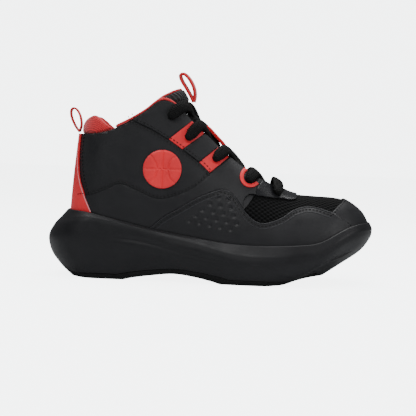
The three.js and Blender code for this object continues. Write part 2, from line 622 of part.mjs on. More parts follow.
// a closed tube along a path, its section carried along without twisting
function tube(points, radius, count) {
  const curve = new THREE.CatmullRomCurve3(points, false, 'centripetal');
  const rings = [];
  let across = new THREE.Vector3(0, 0, 1);
  for (let i = 0; i <= count; i += 1) {
    const centre = curve.getPoint(i / count);
    const tangent = curve.getTangent(i / count);
    across = across.clone().addScaledVector(tangent, -across.dot(tangent)).normalize();
    const other = tangent.clone().cross(across);
    rings.push(Array.from({ length: laceSides }, (_, k) => {
      const turn = k / laceSides * 2 * Math.PI;
      return centre.clone().addScaledVector(across, radius * Math.cos(turn)).addScaledVector(other,
        radius * Math.sin(turn));
    }));
  }
  return loft(rings, 'fan');
}
const path = lacePath();
const laceSteps = (path.length - 1) * 2;
const laceRoom = tube(path, laceDiameter / 2 + gap, laceSteps);
addPiece('vamp_lining', vampLining.subtract(laceRoom), liningGrey, 0.9);
addPiece('tongue', tongueLayer.intersect(sweep(tongueOutline)).subtract(seam(grade(flapLine))).subtract(laceRoom),
  darkMesh, 0.9);
addPiece('lace', tube(path, laceDiameter / 2, laceSteps), 0x101012, 0.9);

const tails = [path[0], path.at(-1)];
sides.forEach(([name, side]) => {
  const end = side > 0 ? tails[0] : tails[1];
  const before = side > 0 ? path[1] : path.at(-2);
  const along = end.clone().sub(before).normalize();
  const start = end.clone().addScaledVector(along, gap);
  const tip = start.clone().addScaledVector(along, agletLength);
  addPiece(`aglet_${name}`, tube([start, tip], laceDiameter / 2 - agletInset, 1), agletGrey, 0.2);
});

// webbing loops
function webbingLoop(points, width, centreY) {
  const curve = new THREE.SplineCurve(grade([...points, points[0]]).map(([x, z]) => new THREE.Vector2(x, z)));
  const line = curve.getPoints(22).slice(0, -1).map((p) => [p.x, p.y]);
  const edge = (distance) => line.map(([x, z], i) => {
    const a = line[(i + line.length - 1) % line.length];
    const b = line[(i + 1) % line.length];
    const length = Math.hypot(b[0] - a[0], b[1] - a[1]);
    return new THREE.Vector2(x + (b[1] - a[1]) / length * distance, z - (b[0] - a[0]) / length * distance);
  });
  const shape = new THREE.Shape(edge(webbingThickness / 2));
  shape.holes.push(new THREE.Path(edge(-webbingThickness / 2)));
  const geometry = new THREE.ExtrudeGeometry(shape, { depth: width, bevelEnabled: false });
  geometry.rotateX(Math.PI / 2);
  geometry.translate(0, centreY + width / 2, 0);
  return solid(geometry);
}
const heelLoopPoints = [[20, 105.6], [21.2, 109.5], [21.2, 113], [20, 118], [17.6, 121.8], [15, 122.9], [13.4, 120.6],
  [14, 116], [16.8, 110]];
const tongueLoopPoints = [[104, 130.6], [104.6, 135.2], [103.9, 140.3], [101.6, 145.3], [98.6, 149.2],
  [95.4, 151.2], [93.5, 149.6], [94.8, 145.8], [98.2, 140.6], [101.4, 135.4]];
addPiece('heel_loop', webbingLoop(heelLoopPoints, heelLoopWidth, 0), red, 0.7);
addPiece('tongue_loop', webbingLoop(tongueLoopPoints, tongueLoopWidth, 0), red, 0.7);

// the origin is under the middle of the whole shoe
const bounds = new THREE.Box3().setFromObject(shoe);
const middle = bounds.getCenter(new THREE.Vector3());
shoe.position.set(-middle.x, -middle.y, -bounds.min.z);

export default shoe;
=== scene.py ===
import json
import math

import bmesh
import bpy
import numpy as np
from mathutils import Matrix, Quaternion, Vector


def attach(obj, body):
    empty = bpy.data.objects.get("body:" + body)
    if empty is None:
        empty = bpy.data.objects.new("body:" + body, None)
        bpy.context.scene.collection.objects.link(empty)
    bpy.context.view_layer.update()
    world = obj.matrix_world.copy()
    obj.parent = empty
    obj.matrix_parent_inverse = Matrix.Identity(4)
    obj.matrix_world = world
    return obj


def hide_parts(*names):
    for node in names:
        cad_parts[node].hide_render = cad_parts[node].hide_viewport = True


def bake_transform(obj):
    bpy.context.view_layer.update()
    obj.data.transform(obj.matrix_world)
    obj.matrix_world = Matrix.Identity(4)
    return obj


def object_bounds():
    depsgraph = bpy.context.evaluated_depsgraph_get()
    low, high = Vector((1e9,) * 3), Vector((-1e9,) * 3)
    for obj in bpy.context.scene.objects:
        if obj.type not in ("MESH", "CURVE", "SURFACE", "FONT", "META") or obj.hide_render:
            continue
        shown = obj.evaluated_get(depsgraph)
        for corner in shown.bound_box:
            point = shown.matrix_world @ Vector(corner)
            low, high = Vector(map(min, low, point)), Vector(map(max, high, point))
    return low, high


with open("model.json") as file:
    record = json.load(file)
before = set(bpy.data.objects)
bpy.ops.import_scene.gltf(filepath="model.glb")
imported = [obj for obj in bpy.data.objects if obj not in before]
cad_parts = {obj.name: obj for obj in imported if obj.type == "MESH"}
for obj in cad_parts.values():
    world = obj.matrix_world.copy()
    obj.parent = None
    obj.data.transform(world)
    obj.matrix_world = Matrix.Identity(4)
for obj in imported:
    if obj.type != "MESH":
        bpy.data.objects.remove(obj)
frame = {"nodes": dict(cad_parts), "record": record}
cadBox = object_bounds()
nodes = frame["nodes"]
print("frame loaded:", len(nodes), "nodes")

mm = 0.001

# the pattern is drawn in mm from the heel and the ground, and lies in the frame's box
pattern = {
    "length": 240.0,
    "height": 151.9,
    "sideShift": -0.755,     # the last's centre line lies this far from the frame's
}
gradeX = (cadBox[1].x - cadBox[0].x) / (pattern["length"] * mm)
gradeZ = (cadBox[1].z - cadBox[0].z) / (pattern["height"] * mm)


def toFrame(points):
    # pattern millimetres to the frame's metres
    out = np.array(points, float) * mm
    out[..., 0] = out[..., 0] * gradeX + cadBox[0].x
    out[..., 1] += pattern["sideShift"] * mm
    out[..., 2] *= gradeZ
    return out


def profile(points):
    # a smooth curve through points with rising x, level beyond its ends
    px, pz = np.array(points, float).T
    a = np.maximum(np.arange(len(px)) - 1, 0)
    b = np.minimum(np.arange(len(px)) + 1, len(px) - 1)
    slope = (pz[b] - pz[a]) / (px[b] - px[a])

    def at(x):
        x = np.clip(np.asarray(x, float), px[0], px[-1])
        i = np.clip(np.searchsorted(px, x, side="right") - 1, 0, len(px) - 2)
        width = px[i + 1] - px[i]
        t = (x - px[i]) / width
        rise = pz[i + 1] - pz[i]
        bend = slope[i] * width * (1 - t) - slope[i + 1] * width * t + rise * (2 * t - 1)
        return pz[i] + rise * t + t * (1 - t) * bend
    return at


def ease(value, low, high):
    t = np.clip((np.asarray(value, float) - low) / (high - low), 0, 1)
    return t * t * (3 - 2 * t)


# the last: the surface that the base panels are pulled over
last = {
    "back": 16.6, "tip": 235.8,
    "heelRound": 25.0, "toeRound": 66.0, "toePower": 2.15,
    "sectionPower": 2.12,
    "toeSwing": 5.0,
    "lean": 4.4, "leanFoot": 46.0, "leanTop": 104.0,
    "ankleX": 96.5, "ankleZ": 139.5, "ankleSlope": 1.75,
}
widthLateral = profile([(16, 27.5), (60, 28.5), (95, 30), (130, 35.5), (168, 40), (200, 39.5), (236, 37)])
widthMedial = profile([(16, 27.5), (60, 27.5), (95, 25.5), (130, 30), (168, 38), (200, 39.5), (236, 38)])
footbed = profile([(16, 31), (50, 30), (90, 25.5), (125, 19.5), (160, 16.5), (190, 18.6), (212, 24), (226, 31),
                   (236, 38.5)])
instepFront = profile([(96.5, 139.5), (104, 127), (112, 116), (120, 107), (130, 97.5), (146, 85.5), (158, 77),
                       (168, 70.5), (180, 65.5), (196, 64.2), (210, 63.6), (218, 62), (226, 57.5), (232, 52),
                       (235.8, 45.5)])


def instepLine(x):
    x = np.asarray(x, float)
    return np.where(x < last["ankleX"], last["ankleZ"] + last["ankleSlope"] * (last["ankleX"] - x), instepFront(x))


def centreLine(x):
    return last["toeSwing"] * ease(x, 140, last["tip"])


def lastX(s):
    return last["back"] + (last["tip"] - last["back"]) * (1 - np.cos(np.pi * np.clip(s, 0, 1))) / 2


def stationAt(x):
    share = (np.asarray(x, float) - last["back"]) / (last["tip"] - last["back"])
    return np.arccos(np.clip(1 - 2 * share, -1, 1)) / np.pi


def halfWidth(side, x):
    width = np.where(np.asarray(side) < 0, widthLateral(x), widthMedial(x))
    heel = np.clip(1 - (x - last["back"]) / last["heelRound"], 0, 1)
    toe = np.clip((x - (last["tip"] - last["toeRound"])) / last["toeRound"], 0, 1)
    toeFactor = np.maximum(1 - toe ** last["toePower"], 0) ** (1 / last["toePower"])
    return width * np.sqrt(np.maximum(1 - heel * heel, 0)) * toeFactor


def lastPoint(side, s, v):
    x = lastX(s)
    turn = np.clip(v, 0, 1) * np.pi / 2
    power = 2 / last["sectionPower"]
    low = footbed(x)
    z = low + (instepLine(x) - low) * np.sin(turn) ** power
    lift = np.clip((z - last["leanFoot"]) / (last["leanTop"] - last["leanFoot"]), 0, 1.3)
    lean = last["lean"] * lift ** 1.3 * np.clip(1 - (x - last["back"]) / 45, 0, 1)
    y = centreLine(x) + side * halfWidth(side, x) * np.maximum(np.cos(turn), 0) ** power
    return np.stack([x + lean, y + 0 * z, z], -1)


def sideNormal(side, s, v):
    step = 0.004
    s0 = np.clip(s, 2 * step, 1 - 2 * step)
    v0 = np.clip(v, 2 * step, 1 - 2 * step)
    along = lastPoint(side, s0 + step, v0) - lastPoint(side, s0 - step, v0)
    up = lastPoint(side, s0, v0 + step) - lastPoint(side, s0, v0 - step)
    normal = np.cross(along, up) * -np.asarray(side, float)[..., None]
    return normal / np.linalg.norm(normal, axis=-1, keepdims=True)


def lastNormal(side, s, v):
    side = np.asarray(side, float)
    own = sideNormal(side, s, v)
    other = sideNormal(-side, s, v)
    # the two sides share one normal where they meet
    seamV = ease(v, 0.93, 1.0)[..., None] * 0.5
    seamS = np.maximum(1 - ease(s, 0, 0.03), ease(s, 0.97, 1))[..., None] * 0.5
    mirrored = own * np.array([1, -1, 1])
    normal = own * (1 - seamV) + other * seamV
    normal = normal * (1 - seamS) + mirrored * seamS
    return normal / np.linalg.norm(normal, axis=-1, keepdims=True)


def placeOnLast(side, x, z):
    # the station and share that show at (x, z) in side view
    x, z = np.broadcast_arrays(np.asarray(x, float), np.asarray(z, float))
    s = stationAt(x)
    for _ in range(6):
        low = footbed(lastX(s))
        share = np.clip((z - low) / (instepLine(lastX(s)) - low), 0, 1)
        v = np.arcsin(np.clip(share ** (last["sectionPower"] / 2), 0, 1)) * 2 / np.pi
        s = stationAt(lastX(s) + x - lastPoint(side, s, v)[..., 0])
    return s, v


def onLast(side, x, z, offset=0.0):
    s, v = placeOnLast(side, x, z)
    side = np.broadcast_to(np.asarray(side, float), s.shape)
    return toFrame(lastPoint(side, s, v) + lastNormal(side, s, v) * np.asarray(offset, float)[..., None])


def offLast(side, s, v, offset):
    s, v = np.broadcast_arrays(np.asarray(s, float), np.asarray(v, float))
    side = np.broadcast_to(np.asarray(side, float), s.shape)
    return toFrame(lastPoint(side, s, v) + lastNormal(side, s, v) * np.asarray(offset, float)[..., None])


def smoothLine(points, count):
    # Catmull-Rom through pattern points, evenly sampled by arc
    p = np.array(points, float)
    ext = np.vstack([2 * p[0] - p[1], p, 2 * p[-1] - p[-2]])
    out = []
    for i in range(len(p) - 1):
        a, b, c, d = ext[i:i + 4]
        t = np.linspace(0, 1, 24, endpoint=False)[:, None]
        out.append(0.5 * (2 * b + (c - a) * t + (2 * a - 5 * b + 4 * c - d) * t ** 2
                          + (3 * b - a - 3 * c + d) * t ** 3))
    out.append(p[-1:])
    line = np.vstack(out)
    run = np.r_[0, np.cumsum(np.linalg.norm(np.diff(line, axis=0), axis=1))]
    even = np.linspace(0, run[-1], count)
    return np.stack([np.interp(even, run, line[:, k]) for k in range(p.shape[1])], -1)


# materials: one node tree each, patterns on Object coordinates in metres
def newMaterial(name, color, roughness, **inputs):
    material = bpy.data.materials.new(name)
    material.use_nodes = True
    shader = material.node_tree.nodes["Principled BSDF"]
    shader.inputs["Base Color"].default_value = (*color, 1)
    shader.inputs["Roughness"].default_value = roughness
    for key, value in inputs.items():
        shader.inputs[key.replace("_", " ")].default_value = value
    return material, material.node_tree, shader


def noise(tree, scale, detail=4, coordinates="Object", stretch=(1, 1, 1), roughness=0.55):
    where = tree.nodes.new("ShaderNodeTexCoord")
    mapping = tree.nodes.new("ShaderNodeMapping")
    mapping.inputs["Scale"].default_value = stretch
    texture = tree.nodes.new("ShaderNodeTexNoise")
    texture.inputs["Scale"].default_value = scale
    texture.inputs["Detail"].default_value = detail
    texture.inputs["Roughness"].default_value = roughness
    tree.links.new(where.outputs[coordinates], mapping.inputs["Vector"])
    tree.links.new(mapping.outputs["Vector"], texture.inputs["Vector"])
    return texture.outputs["Fac"]


def cells(tree, scale, feature="DISTANCE_TO_EDGE", stretch=(1, 1, 1)):
    where = tree.nodes.new("ShaderNodeTexCoord")
    mapping = tree.nodes.new("ShaderNodeMapping")
    mapping.inputs["Scale"].default_value = stretch
    texture = tree.nodes.new("ShaderNodeTexVoronoi")
    texture.feature = feature
    texture.inputs["Scale"].default_value = scale
    tree.links.new(where.outputs["Object"], mapping.inputs["Vector"])
    tree.links.new(mapping.outputs["Vector"], texture.inputs["Vector"])
    return texture.outputs["Distance"]


def ramp(tree, value, low, high, dark, light):
    node = tree.nodes.new("ShaderNodeValToRGB")
    node.color_ramp.elements[0].position = low
    node.color_ramp.elements[1].position = high
    node.color_ramp.elements[0].color = (*dark, 1)
    node.color_ramp.elements[1].color = (*light, 1)
    tree.links.new(value, node.inputs["Fac"])
    return node.outputs["Color"]


def mathNode(tree, kind, a, b=None):
    node = tree.nodes.new("ShaderNodeMath")
    node.operation = kind
    for socket, value in zip(node.inputs, (a, b)):
        if value is None:
            continue
        if isinstance(value, (int, float)):
            socket.default_value = value
        else:
            tree.links.new(value, socket)
    return node.outputs[0]


def bump(tree, shader, height, strength, distance, below=None):
    node = tree.nodes.new("ShaderNodeBump")
    node.inputs["Strength"].default_value = strength
    node.inputs["Distance"].default_value = distance
    tree.links.new(height, node.inputs["Height"])
    if below is not None:
        tree.links.new(below, node.inputs["Normal"])
    tree.links.new(node.outputs["Normal"], shader.inputs["Normal"])
    return node.outputs["Normal"]


def scaled(color, factor):
    return tuple(min(c * factor, 1) for c in color)


def leather(name, color, roughness=0.46, grain=1300):
    material, tree, shader = newMaterial(name, color, roughness, Specular_IOR_Level=0.32)
    tone = noise(tree, 38, 3)
    tree.links.new(ramp(tree, tone, 0.3, 0.75, scaled(color, 0.82), scaled(color, 1.22)), shader.inputs["Base Color"])
    gloss = ramp(tree, noise(tree, 160, 5), 0.3, 0.7, (roughness - 0.06,) * 3, (roughness + 0.09,) * 3)
    tree.links.new(gloss, shader.inputs["Roughness"])
    pores = cells(tree, grain)
    first = bump(tree, shader, pores, 0.22, 0.00012)
    bump(tree, shader, noise(tree, 420, 4), 0.1, 0.00025, first)
    return material


def knit(name, color, pitch=1.0, roughness=0.85, sheen=0.3):
    # rows of fine ribs with a slight wander
    material, tree, shader = newMaterial(name, color, roughness, Sheen_Weight=sheen)
    where = tree.nodes.new("ShaderNodeTexCoord")
    rows = tree.nodes.new("ShaderNodeTexWave")
    rows.bands_direction = "DIAGONAL"
    rows.inputs["Scale"].default_value = 320 / pitch
    rows.inputs["Distortion"].default_value = 1.2
    rows.inputs["Detail"].default_value = 2
    rows.inputs["Detail Scale"].default_value = 3
    tree.links.new(where.outputs["Object"], rows.inputs["Vector"])
    tree.links.new(ramp(tree, rows.outputs["Fac"], 0.1, 0.9, scaled(color, 0.6), scaled(color, 1.25)),
                   shader.inputs["Base Color"])
    first = bump(tree, shader, rows.outputs["Fac"], 0.5, 0.0003)
    bump(tree, shader, noise(tree, 900, 3), 0.25, 0.0002, first)
    return material


def moulded(name, color, roughness=0.5, speckle=0.25):
    material, tree, shader = newMaterial(name, color, roughness, Specular_IOR_Level=0.3)
    tone = noise(tree, 26, 4)
    tree.links.new(ramp(tree, tone, 0.3, 0.75, scaled(color, 0.85), scaled(color, 1.18)), shader.inputs["Base Color"])
    gloss = ramp(tree, noise(tree, 90, 6), 0.3, 0.72, (roughness - 0.07,) * 3, (roughness + 0.1,) * 3)
    tree.links.new(gloss, shader.inputs["Roughness"])
    bump(tree, shader, noise(tree, 700, 3), speckle, 0.00012)
    return material


def woven(name, color, threads=(26, 1), roughness=0.75, rib=0.6, sheen=0.25):
    # ribs along and across the piece's own UV map
    material, tree, shader = newMaterial(name, color, roughness, Sheen_Weight=sheen, Specular_IOR_Level=0.2)
    uv = tree.nodes.new("ShaderNodeTexCoord")
    split = tree.nodes.new("ShaderNodeSeparateXYZ")
    tree.links.new(uv.outputs["UV"], split.inputs[0])
    across = mathNode(tree, "SINE", mathNode(tree, "MULTIPLY", split.outputs["X"], threads[0] * math.pi))
    run = mathNode(tree, "SINE", mathNode(tree, "MULTIPLY", split.outputs["Y"], threads[1] * math.pi))
    weave = mathNode(tree, "MULTIPLY", across, run)
    lift = mathNode(tree, "ADD", mathNode(tree, "MULTIPLY", weave, 0.5), 0.5)
    tree.links.new(ramp(tree, lift, 0.05, 0.95, scaled(color, 0.55), scaled(color, 1.3)), shader.inputs["Base Color"])
    first = bump(tree, shader, lift, rib, 0.0004)
    bump(tree, shader, noise(tree, 1200, 2), 0.2, 0.0002, first)
    return material


def holedMesh(name, color):
    # an open sandwich mesh: small round holes in slanted rows, with painted shade inside them
    material, tree, shader = newMaterial(name, color, 0.85, Specular_IOR_Level=0.15)
    uv = tree.nodes.new("ShaderNodeTexCoord")
    mapping = tree.nodes.new("ShaderNodeMapping")
    mapping.inputs["Rotation"].default_value = (0, 0, math.radians(45))
    tree.links.new(uv.outputs["UV"], mapping.inputs["Vector"])
    split = tree.nodes.new("ShaderNodeSeparateXYZ")
    tree.links.new(mapping.outputs["Vector"], split.inputs[0])
    turns = 2 * math.pi / 3.0
    a = mathNode(tree, "COSINE", mathNode(tree, "MULTIPLY", split.outputs["X"], turns))
    b = mathNode(tree, "COSINE", mathNode(tree, "MULTIPLY", split.outputs["Y"], turns))
    grid = mathNode(tree, "ADD", mathNode(tree, "MULTIPLY", mathNode(tree, "ADD", a, b), 0.25), 0.5)
    # the holes are painted near black as the shade inside them, the threads between them lighter
    tree.links.new(ramp(tree, grid, 0.5, 0.78, scaled(color, 2.6), scaled(color, 0.12)), shader.inputs["Base Color"])
    depth = mathNode(tree, "SUBTRACT", 1.0, grid)
    first = bump(tree, shader, depth, 1.0, 0.0012)
    bump(tree, shader, noise(tree, 1500, 2), 0.3, 0.0002, first)
    return material


colors = {
    "black": (0.0105, 0.0105, 0.0122), "sole": (0.0072, 0.0072, 0.0088), "outsole": (0.003, 0.003, 0.0035),
    "mesh": (0.0016, 0.0016, 0.0018), "red": (0.80, 0.028, 0.036), "lining": (0.66, 0.018, 0.024),
    "webbing": (0.72, 0.012, 0.018), "lace": (0.0012, 0.0012, 0.0012), "thread": (0.0015, 0.0015, 0.0015),
    "gloss": (0.012, 0.012, 0.014), "sock": (0.008, 0.008, 0.009),
}
blackLeather = leather("blackLeather", colors["black"])
redLeather = leather("redLeather", colors["red"], 0.45)
glossTrim = moulded("glossTrim", colors["gloss"], 0.24, 0.08)
soleFoam = moulded("soleFoam", colors["sole"], 0.46, 0.2)
soleRubber = moulded("soleRubber", colors["outsole"], 0.7, 0.5)
redLining = knit("redLining", colors["lining"], 0.8)
greyLining = knit("greyLining", colors["sock"], 1.0)
redBinding = knit("redBinding", colors["webbing"], 0.7, 0.7)
sockFabric = knit("sockFabric", colors["sock"], 1.4)
threadBlack = moulded("threadBlack", colors["thread"], 0.6, 0.6)
# the welt ridges get the black leather made 1.9 times lighter: a painted highlight on the raised edges
weltLeatherHighlight = leather("weltLeatherHighlight", scaled(colors["black"], 1.9), 0.36)
webbingRed = woven("webbingRed", colors["webbing"], threads=(1.1, 1.4))
laceBraid = woven("laceBraid", colors["lace"], threads=(0.9, 1.5), rib=0.9, sheen=0.0)
meshCloth = holedMesh("meshCloth", colors["mesh"])
boardFibre = moulded("boardFibre", (0.42, 0.36, 0.28), 0.85, 0.5)
paddingFoam = moulded("paddingFoam", (0.30, 0.29, 0.27), 0.9, 0.8)
# the backstay piping's pale pink is a painted highlight on the red leather's rolled edge
pipingPaintedHighlight = moulded("pipingPaintedHighlight", (0.75, 0.28, 0.30), 0.5, 0.1)
agletPlastic = moulded("agletPlastic", (0.012, 0.012, 0.013), 0.25, 0.08)
print("materials made")


slotOf = {part["node"]: part["material_slot"] for part in frame["record"]["subparts"]}


# panels: the outer faces of a CAD panel, cut fine and laid on the smooth last
def shareAtHeight(s, z):
    low = footbed(lastX(s))
    share = np.clip((z - low) / (instepLine(lastX(s)) - low), 0, 1)
    return np.arcsin(share ** (last["sectionPower"] / 2)) * 2 / np.pi


def stationFromSide(side, y, z, near, far):
    # the station whose half width matches the side distance, between two bounds
    for _ in range(26):
        middle = (near + far) / 2
        v = shareAtHeight(middle, z)
        reach = halfWidth(side, lastX(middle)) * np.cos(v * np.pi / 2) ** (2 / last["sectionPower"])
        near, far = np.where(reach < y, middle, near), np.where(reach < y, far, middle)
    return (near + far) / 2


def surfacePlace(points):
    # side, station and share on the last nearest to points in the frame
    p = np.array(points, float)
    p[:, 0] = (p[:, 0] - cadBox[0].x) / gradeX / mm
    p[:, 1] = p[:, 1] / mm - pattern["sideShift"]
    p[:, 2] = p[:, 2] / gradeZ / mm
    q = p.copy()
    half = last["sectionPower"] / 2
    for _ in range(4):
        lift = np.clip((q[:, 2] - last["leanFoot"]) / (last["leanTop"] - last["leanFoot"]), 0, 1.3) ** 1.3
        x = q[:, 0]
        for _ in range(3):
            x = q[:, 0] - last["lean"] * lift * np.clip(1 - (x - last["back"]) / 45, 0, 1)
        x = np.clip(x, last["back"], last["tip"])
        side = np.where(q[:, 1] < centreLine(x), -1.0, 1.0)
        low = footbed(x)
        up = np.clip((q[:, 2] - low) / (instepLine(x) - low), 0, 1.2)
        aside = np.abs(q[:, 1] - centreLine(x))
        v = np.clip(np.arctan2(up ** half, (aside / np.maximum(halfWidth(side, x), 0.4)) ** half) * 2 / np.pi, 0, 1)
        s = stationAt(x)
        # at the two ends the station follows from the side distance
        heelS = stationFromSide(side, aside, q[:, 2], np.zeros(len(x)), np.full(len(x), 0.22))
        toeS = stationFromSide(side, aside, q[:, 2], np.ones(len(x)), np.full(len(x), 0.8))
        heelPart = 1 - ease(x - last["back"], 6, 14)
        toePart = (1 - ease(last["tip"] - x, 6, 14)) * (1 - ease(up, 0.8, 0.97))
        s = s * (1 - heelPart - toePart) + heelS * heelPart + toeS * toePart
        ends = heelPart + toePart
        v = v * (1 - ends) + shareAtHeight(s, q[:, 2]) * ends
        normal = lastNormal(side, s, v)
        depth = np.sum((p - lastPoint(side, s, v)) * normal, axis=1, keepdims=True)
        q = p - normal * depth
    return side, s, v, p


def finishPiece(bm, name, material, smooth=True):
    mesh = bpy.data.meshes.new(name)
    bm.to_mesh(mesh)
    bm.free()
    for polygon in mesh.polygons:
        polygon.use_smooth = smooth
    mesh.set_sharp_from_angle(angle=math.radians(48))
    mesh.materials.append(material)
    piece = bpy.data.objects.new(name, mesh)
    bpy.context.scene.collection.objects.link(piece)
    return piece


def cutFine(bm, spacing):
    low = Vector([min(v.co[k] for v in bm.verts) for k in range(3)])
    high = Vector([max(v.co[k] for v in bm.verts) for k in range(3)])
    for axis in range(3):
        normal = Vector([1.0 if k == axis else 0.0 for k in range(3)])
        step = spacing[axis] * mm
        count = int((high[axis] - low[axis]) / step)
        for i in range(1, count + 1):
            where = Vector((0, 0, 0))
            where[axis] = low[axis] + i * step
            bmesh.ops.bisect_plane(bm, geom=bm.verts[:] + bm.edges[:] + bm.faces[:], dist=1e-7, plane_co=where,
                                   plane_no=normal)


def panel(node, name, material, offset, thickness, body="shoe", spacing=(2.2, 2.6, 2.2), relief=None,
          edge=0.3, inner=False, closed=True):
    bm = bmesh.new()
    bm.from_mesh(nodes[node].data)
    bmesh.ops.remove_doubles(bm, verts=bm.verts, dist=1e-6)
    bm.normal_update()
    centres = np.array([f.calc_center_median() for f in bm.faces])
    side, s, v, _ = surfacePlace(centres)
    outward = np.sum(lastNormal(side, s, v) * np.array([f.normal for f in bm.faces]), axis=1)
    if inner:
        outward = -outward
    drop = [f for f, out in zip(bm.faces, outward) if out < 0.55]
    bmesh.ops.delete(bm, geom=drop, context="FACES")
    cutFine(bm, spacing)
    bmesh.ops.remove_doubles(bm, verts=bm.verts, dist=5e-6)
    places = np.array([v.co for v in bm.verts])
    side, s, v, p = surfacePlace(places)
    depth = np.full(len(p), float(offset)) if not callable(offset) else offset(p[:, 0], p[:, 2])
    if relief is not None:
        depth = depth + relief(side, p[:, 0], p[:, 2])
    moved = offLast(side, s, v, depth)
    for vert, co in zip(bm.verts, moved):
        vert.co = co
    layer = bm.loops.layers.uv.new("cloth")
    for face in bm.faces:
        for loop in face.loops:
            co = loop.vert.co
            loop[layer].uv = (co.x / mm, (co.z - abs(co.y)) / mm)
    piece = finishPiece(bm, name, material)
    if closed:
        wall = piece.modifiers.new("wall", "SOLIDIFY")
        wall.thickness = thickness * mm
        wall.offset = 1.0 if inner else -1.0
        if edge > 0:
            soft = piece.modifiers.new("softEdge", "BEVEL")
            soft.width = edge * mm
            soft.segments = 2
            soft.limit_method = "ANGLE"
            soft.angle_limit = math.radians(50)
    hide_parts(node)
    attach(piece, body)
    return piece



upperLook = {
    "overlay": 1.4, "overlayThickness": 1.05,
    "base": 0.0, "baseThickness": 1.1,
    "dimpleDepth": 0.75, "dimpleSize": 1.55, "dimpleRim": 0.25,
}

# rows of dimples pressed into the mudguard: (first dot x, z), dots in the row
dimpleRows = [((124.4, 61.6), 2), ((117.6, 57.0), 3), ((111.6, 52.6), 4), ((105.8, 48.4), 5), ((100.4, 44.4), 5)]
dimpleStep = (7.4, -1.9)
dimples = [(x + i * dimpleStep[0] + (0.9 * r), z + i * dimpleStep[1] * 0.62)
           for r, ((x, z), n) in enumerate(dimpleRows) for i in range(n)]


def dimpled(side, x, z):
    lift = np.zeros(len(x))
    for dx, dz in dimples:
        r = np.hypot(x - dx, z - dz) / upperLook["dimpleSize"]
        lift -= upperLook["dimpleDepth"] * np.exp(-r ** 2 * 1.1)
        lift += upperLook["dimpleRim"] * np.exp(-((r - 1.35) / 0.45) ** 2)
    return lift


for name, sign in (("lateral", -1), ("medial", 1)):
    over, thick = upperLook["overlay"], upperLook["overlayThickness"]
    panel(f"quarter_{name}", f"quarterPanel_{name}", blackLeather, upperLook["base"], upperLook["baseThickness"])
    panel(f"mudguard_{name}", f"mudguardPanel_{name}", blackLeather, over, thick,
          spacing=(0.9, 3.0, 0.9), relief=dimpled)
    panel(f"saddle_{name}", f"saddlePanel_{name}", blackLeather, over, thick)
    for part in ("upper", "middle"):
        panel(f"eyestay_{part}_{name}", f"eyestayPanel_{part}_{name}", blackLeather, over, thick)
    for part in ("upper", "lower"):
        panel(f"lace_window_{part}_{name}", f"laceWindow_{part}_{name}", redLeather, 0.9, 0.6,
              edge=0.12)
panel("heel_backstay", "backstayPanel", redLeather, 1.4, 1.05)
panel("toe_cap", "toeCapPanel", blackLeather, 1.4, 1.05, spacing=(1.6, 1.6, 1.6))
panel("throat_tip", "throatTipPanel", glossTrim, 1.2, 0.85, spacing=(1.6, 1.8, 1.6))
panel("vamp_mesh", "vampMesh", meshCloth, 0.1, 1.1, spacing=(1.8, 1.8, 1.8))
print("panels laid on the last")


# sole: fine loops between the CAD's own section loops
groundLine = profile([(0, 0.9), (22, 0.9), (29, -0.8), (53, -0.8), (64, 1.6), (78, 3.8), (94, 5.6), (109, 4.2),
                      (122, 1.6), (132, -0.8), (168, -0.8), (188, 2.9), (201, 7.1), (214, 13.7), (225, 20.3),
                      (233, 26.8), (240, 36)])
midsoleTop = profile([(13, 48.4), (34.8, 46.6), (57, 41.8), (77.6, 37.3), (108, 32.4), (126, 29.8), (143.5, 28.6),
                      (161, 28.6), (182.9, 29.7), (200.4, 31.6), (213.5, 34.8), (225, 38.9), (237.6, 45.6)])
lipHeight = profile([(0, 4), (57, 1.4), (108, 1.6), (143, 5.6), (190, 5.2), (225, 3.2), (240, 2.6)])


def ground(x):
    return np.maximum(groundLine(x), 0)


def between(share):
    return lambda x: ground(x) + (midsoleTop(x) - lipHeight(x) - ground(x)) * share


# back and front end, flare beyond the upper, height at the two ends and between them
soleLoops = [
    (17.9, 205, 0.5, 0, 6.4, ground),
    (10, 217, 3.2, 7.2, 14.6, lambda x: ground(x) + 2.2),
    (2.6, 231.5, 5.6, 17, 25, between(0.38)),
    (0, 238.6, 6.6, 28, 34.6, between(0.68)),
    (3.8, 240, 6, 37, 40.4, between(0.9)),
    (8.8, 239.6, 5.4, 42.8, 43, between(1)),
    (13.4, 238.2, 3.4, 48.2, 45.8, midsoleTop),
]
soleLook = {
    "around": 320, "up": 54, "creaseDepth": 0.8, "outsoleHeight": 3.6,
}


def soleLoopPoints(loop, u):
    back, front, flare, backZ, frontZ, height = loop
    s = 1 - np.abs(1 - 2 * u)
    s = s + 0.055 * np.sin(2 * np.pi * s)
    side = np.where(u < 0.5, -1.0, 1.0)
    share = (1 - np.cos(np.pi * s)) / 2
    x = back + (front - back) * share
    lastShare = last["back"] + (last["tip"] - last["back"]) * share
    y = halfWidth(side, lastShare) + flare * np.sqrt(np.maximum(1 - (2 * share - 1) ** 6, 0))
    endZ = (1 - ease(x, back, back + 26)) * backZ + ease(x, front - 46, front) * frontZ
    middle = ease(x, back, back + 26) * (1 - ease(x, front - 46, front))
    return np.stack([x, centreLine(x) + side * y, endZ + middle * height(x)], -1)


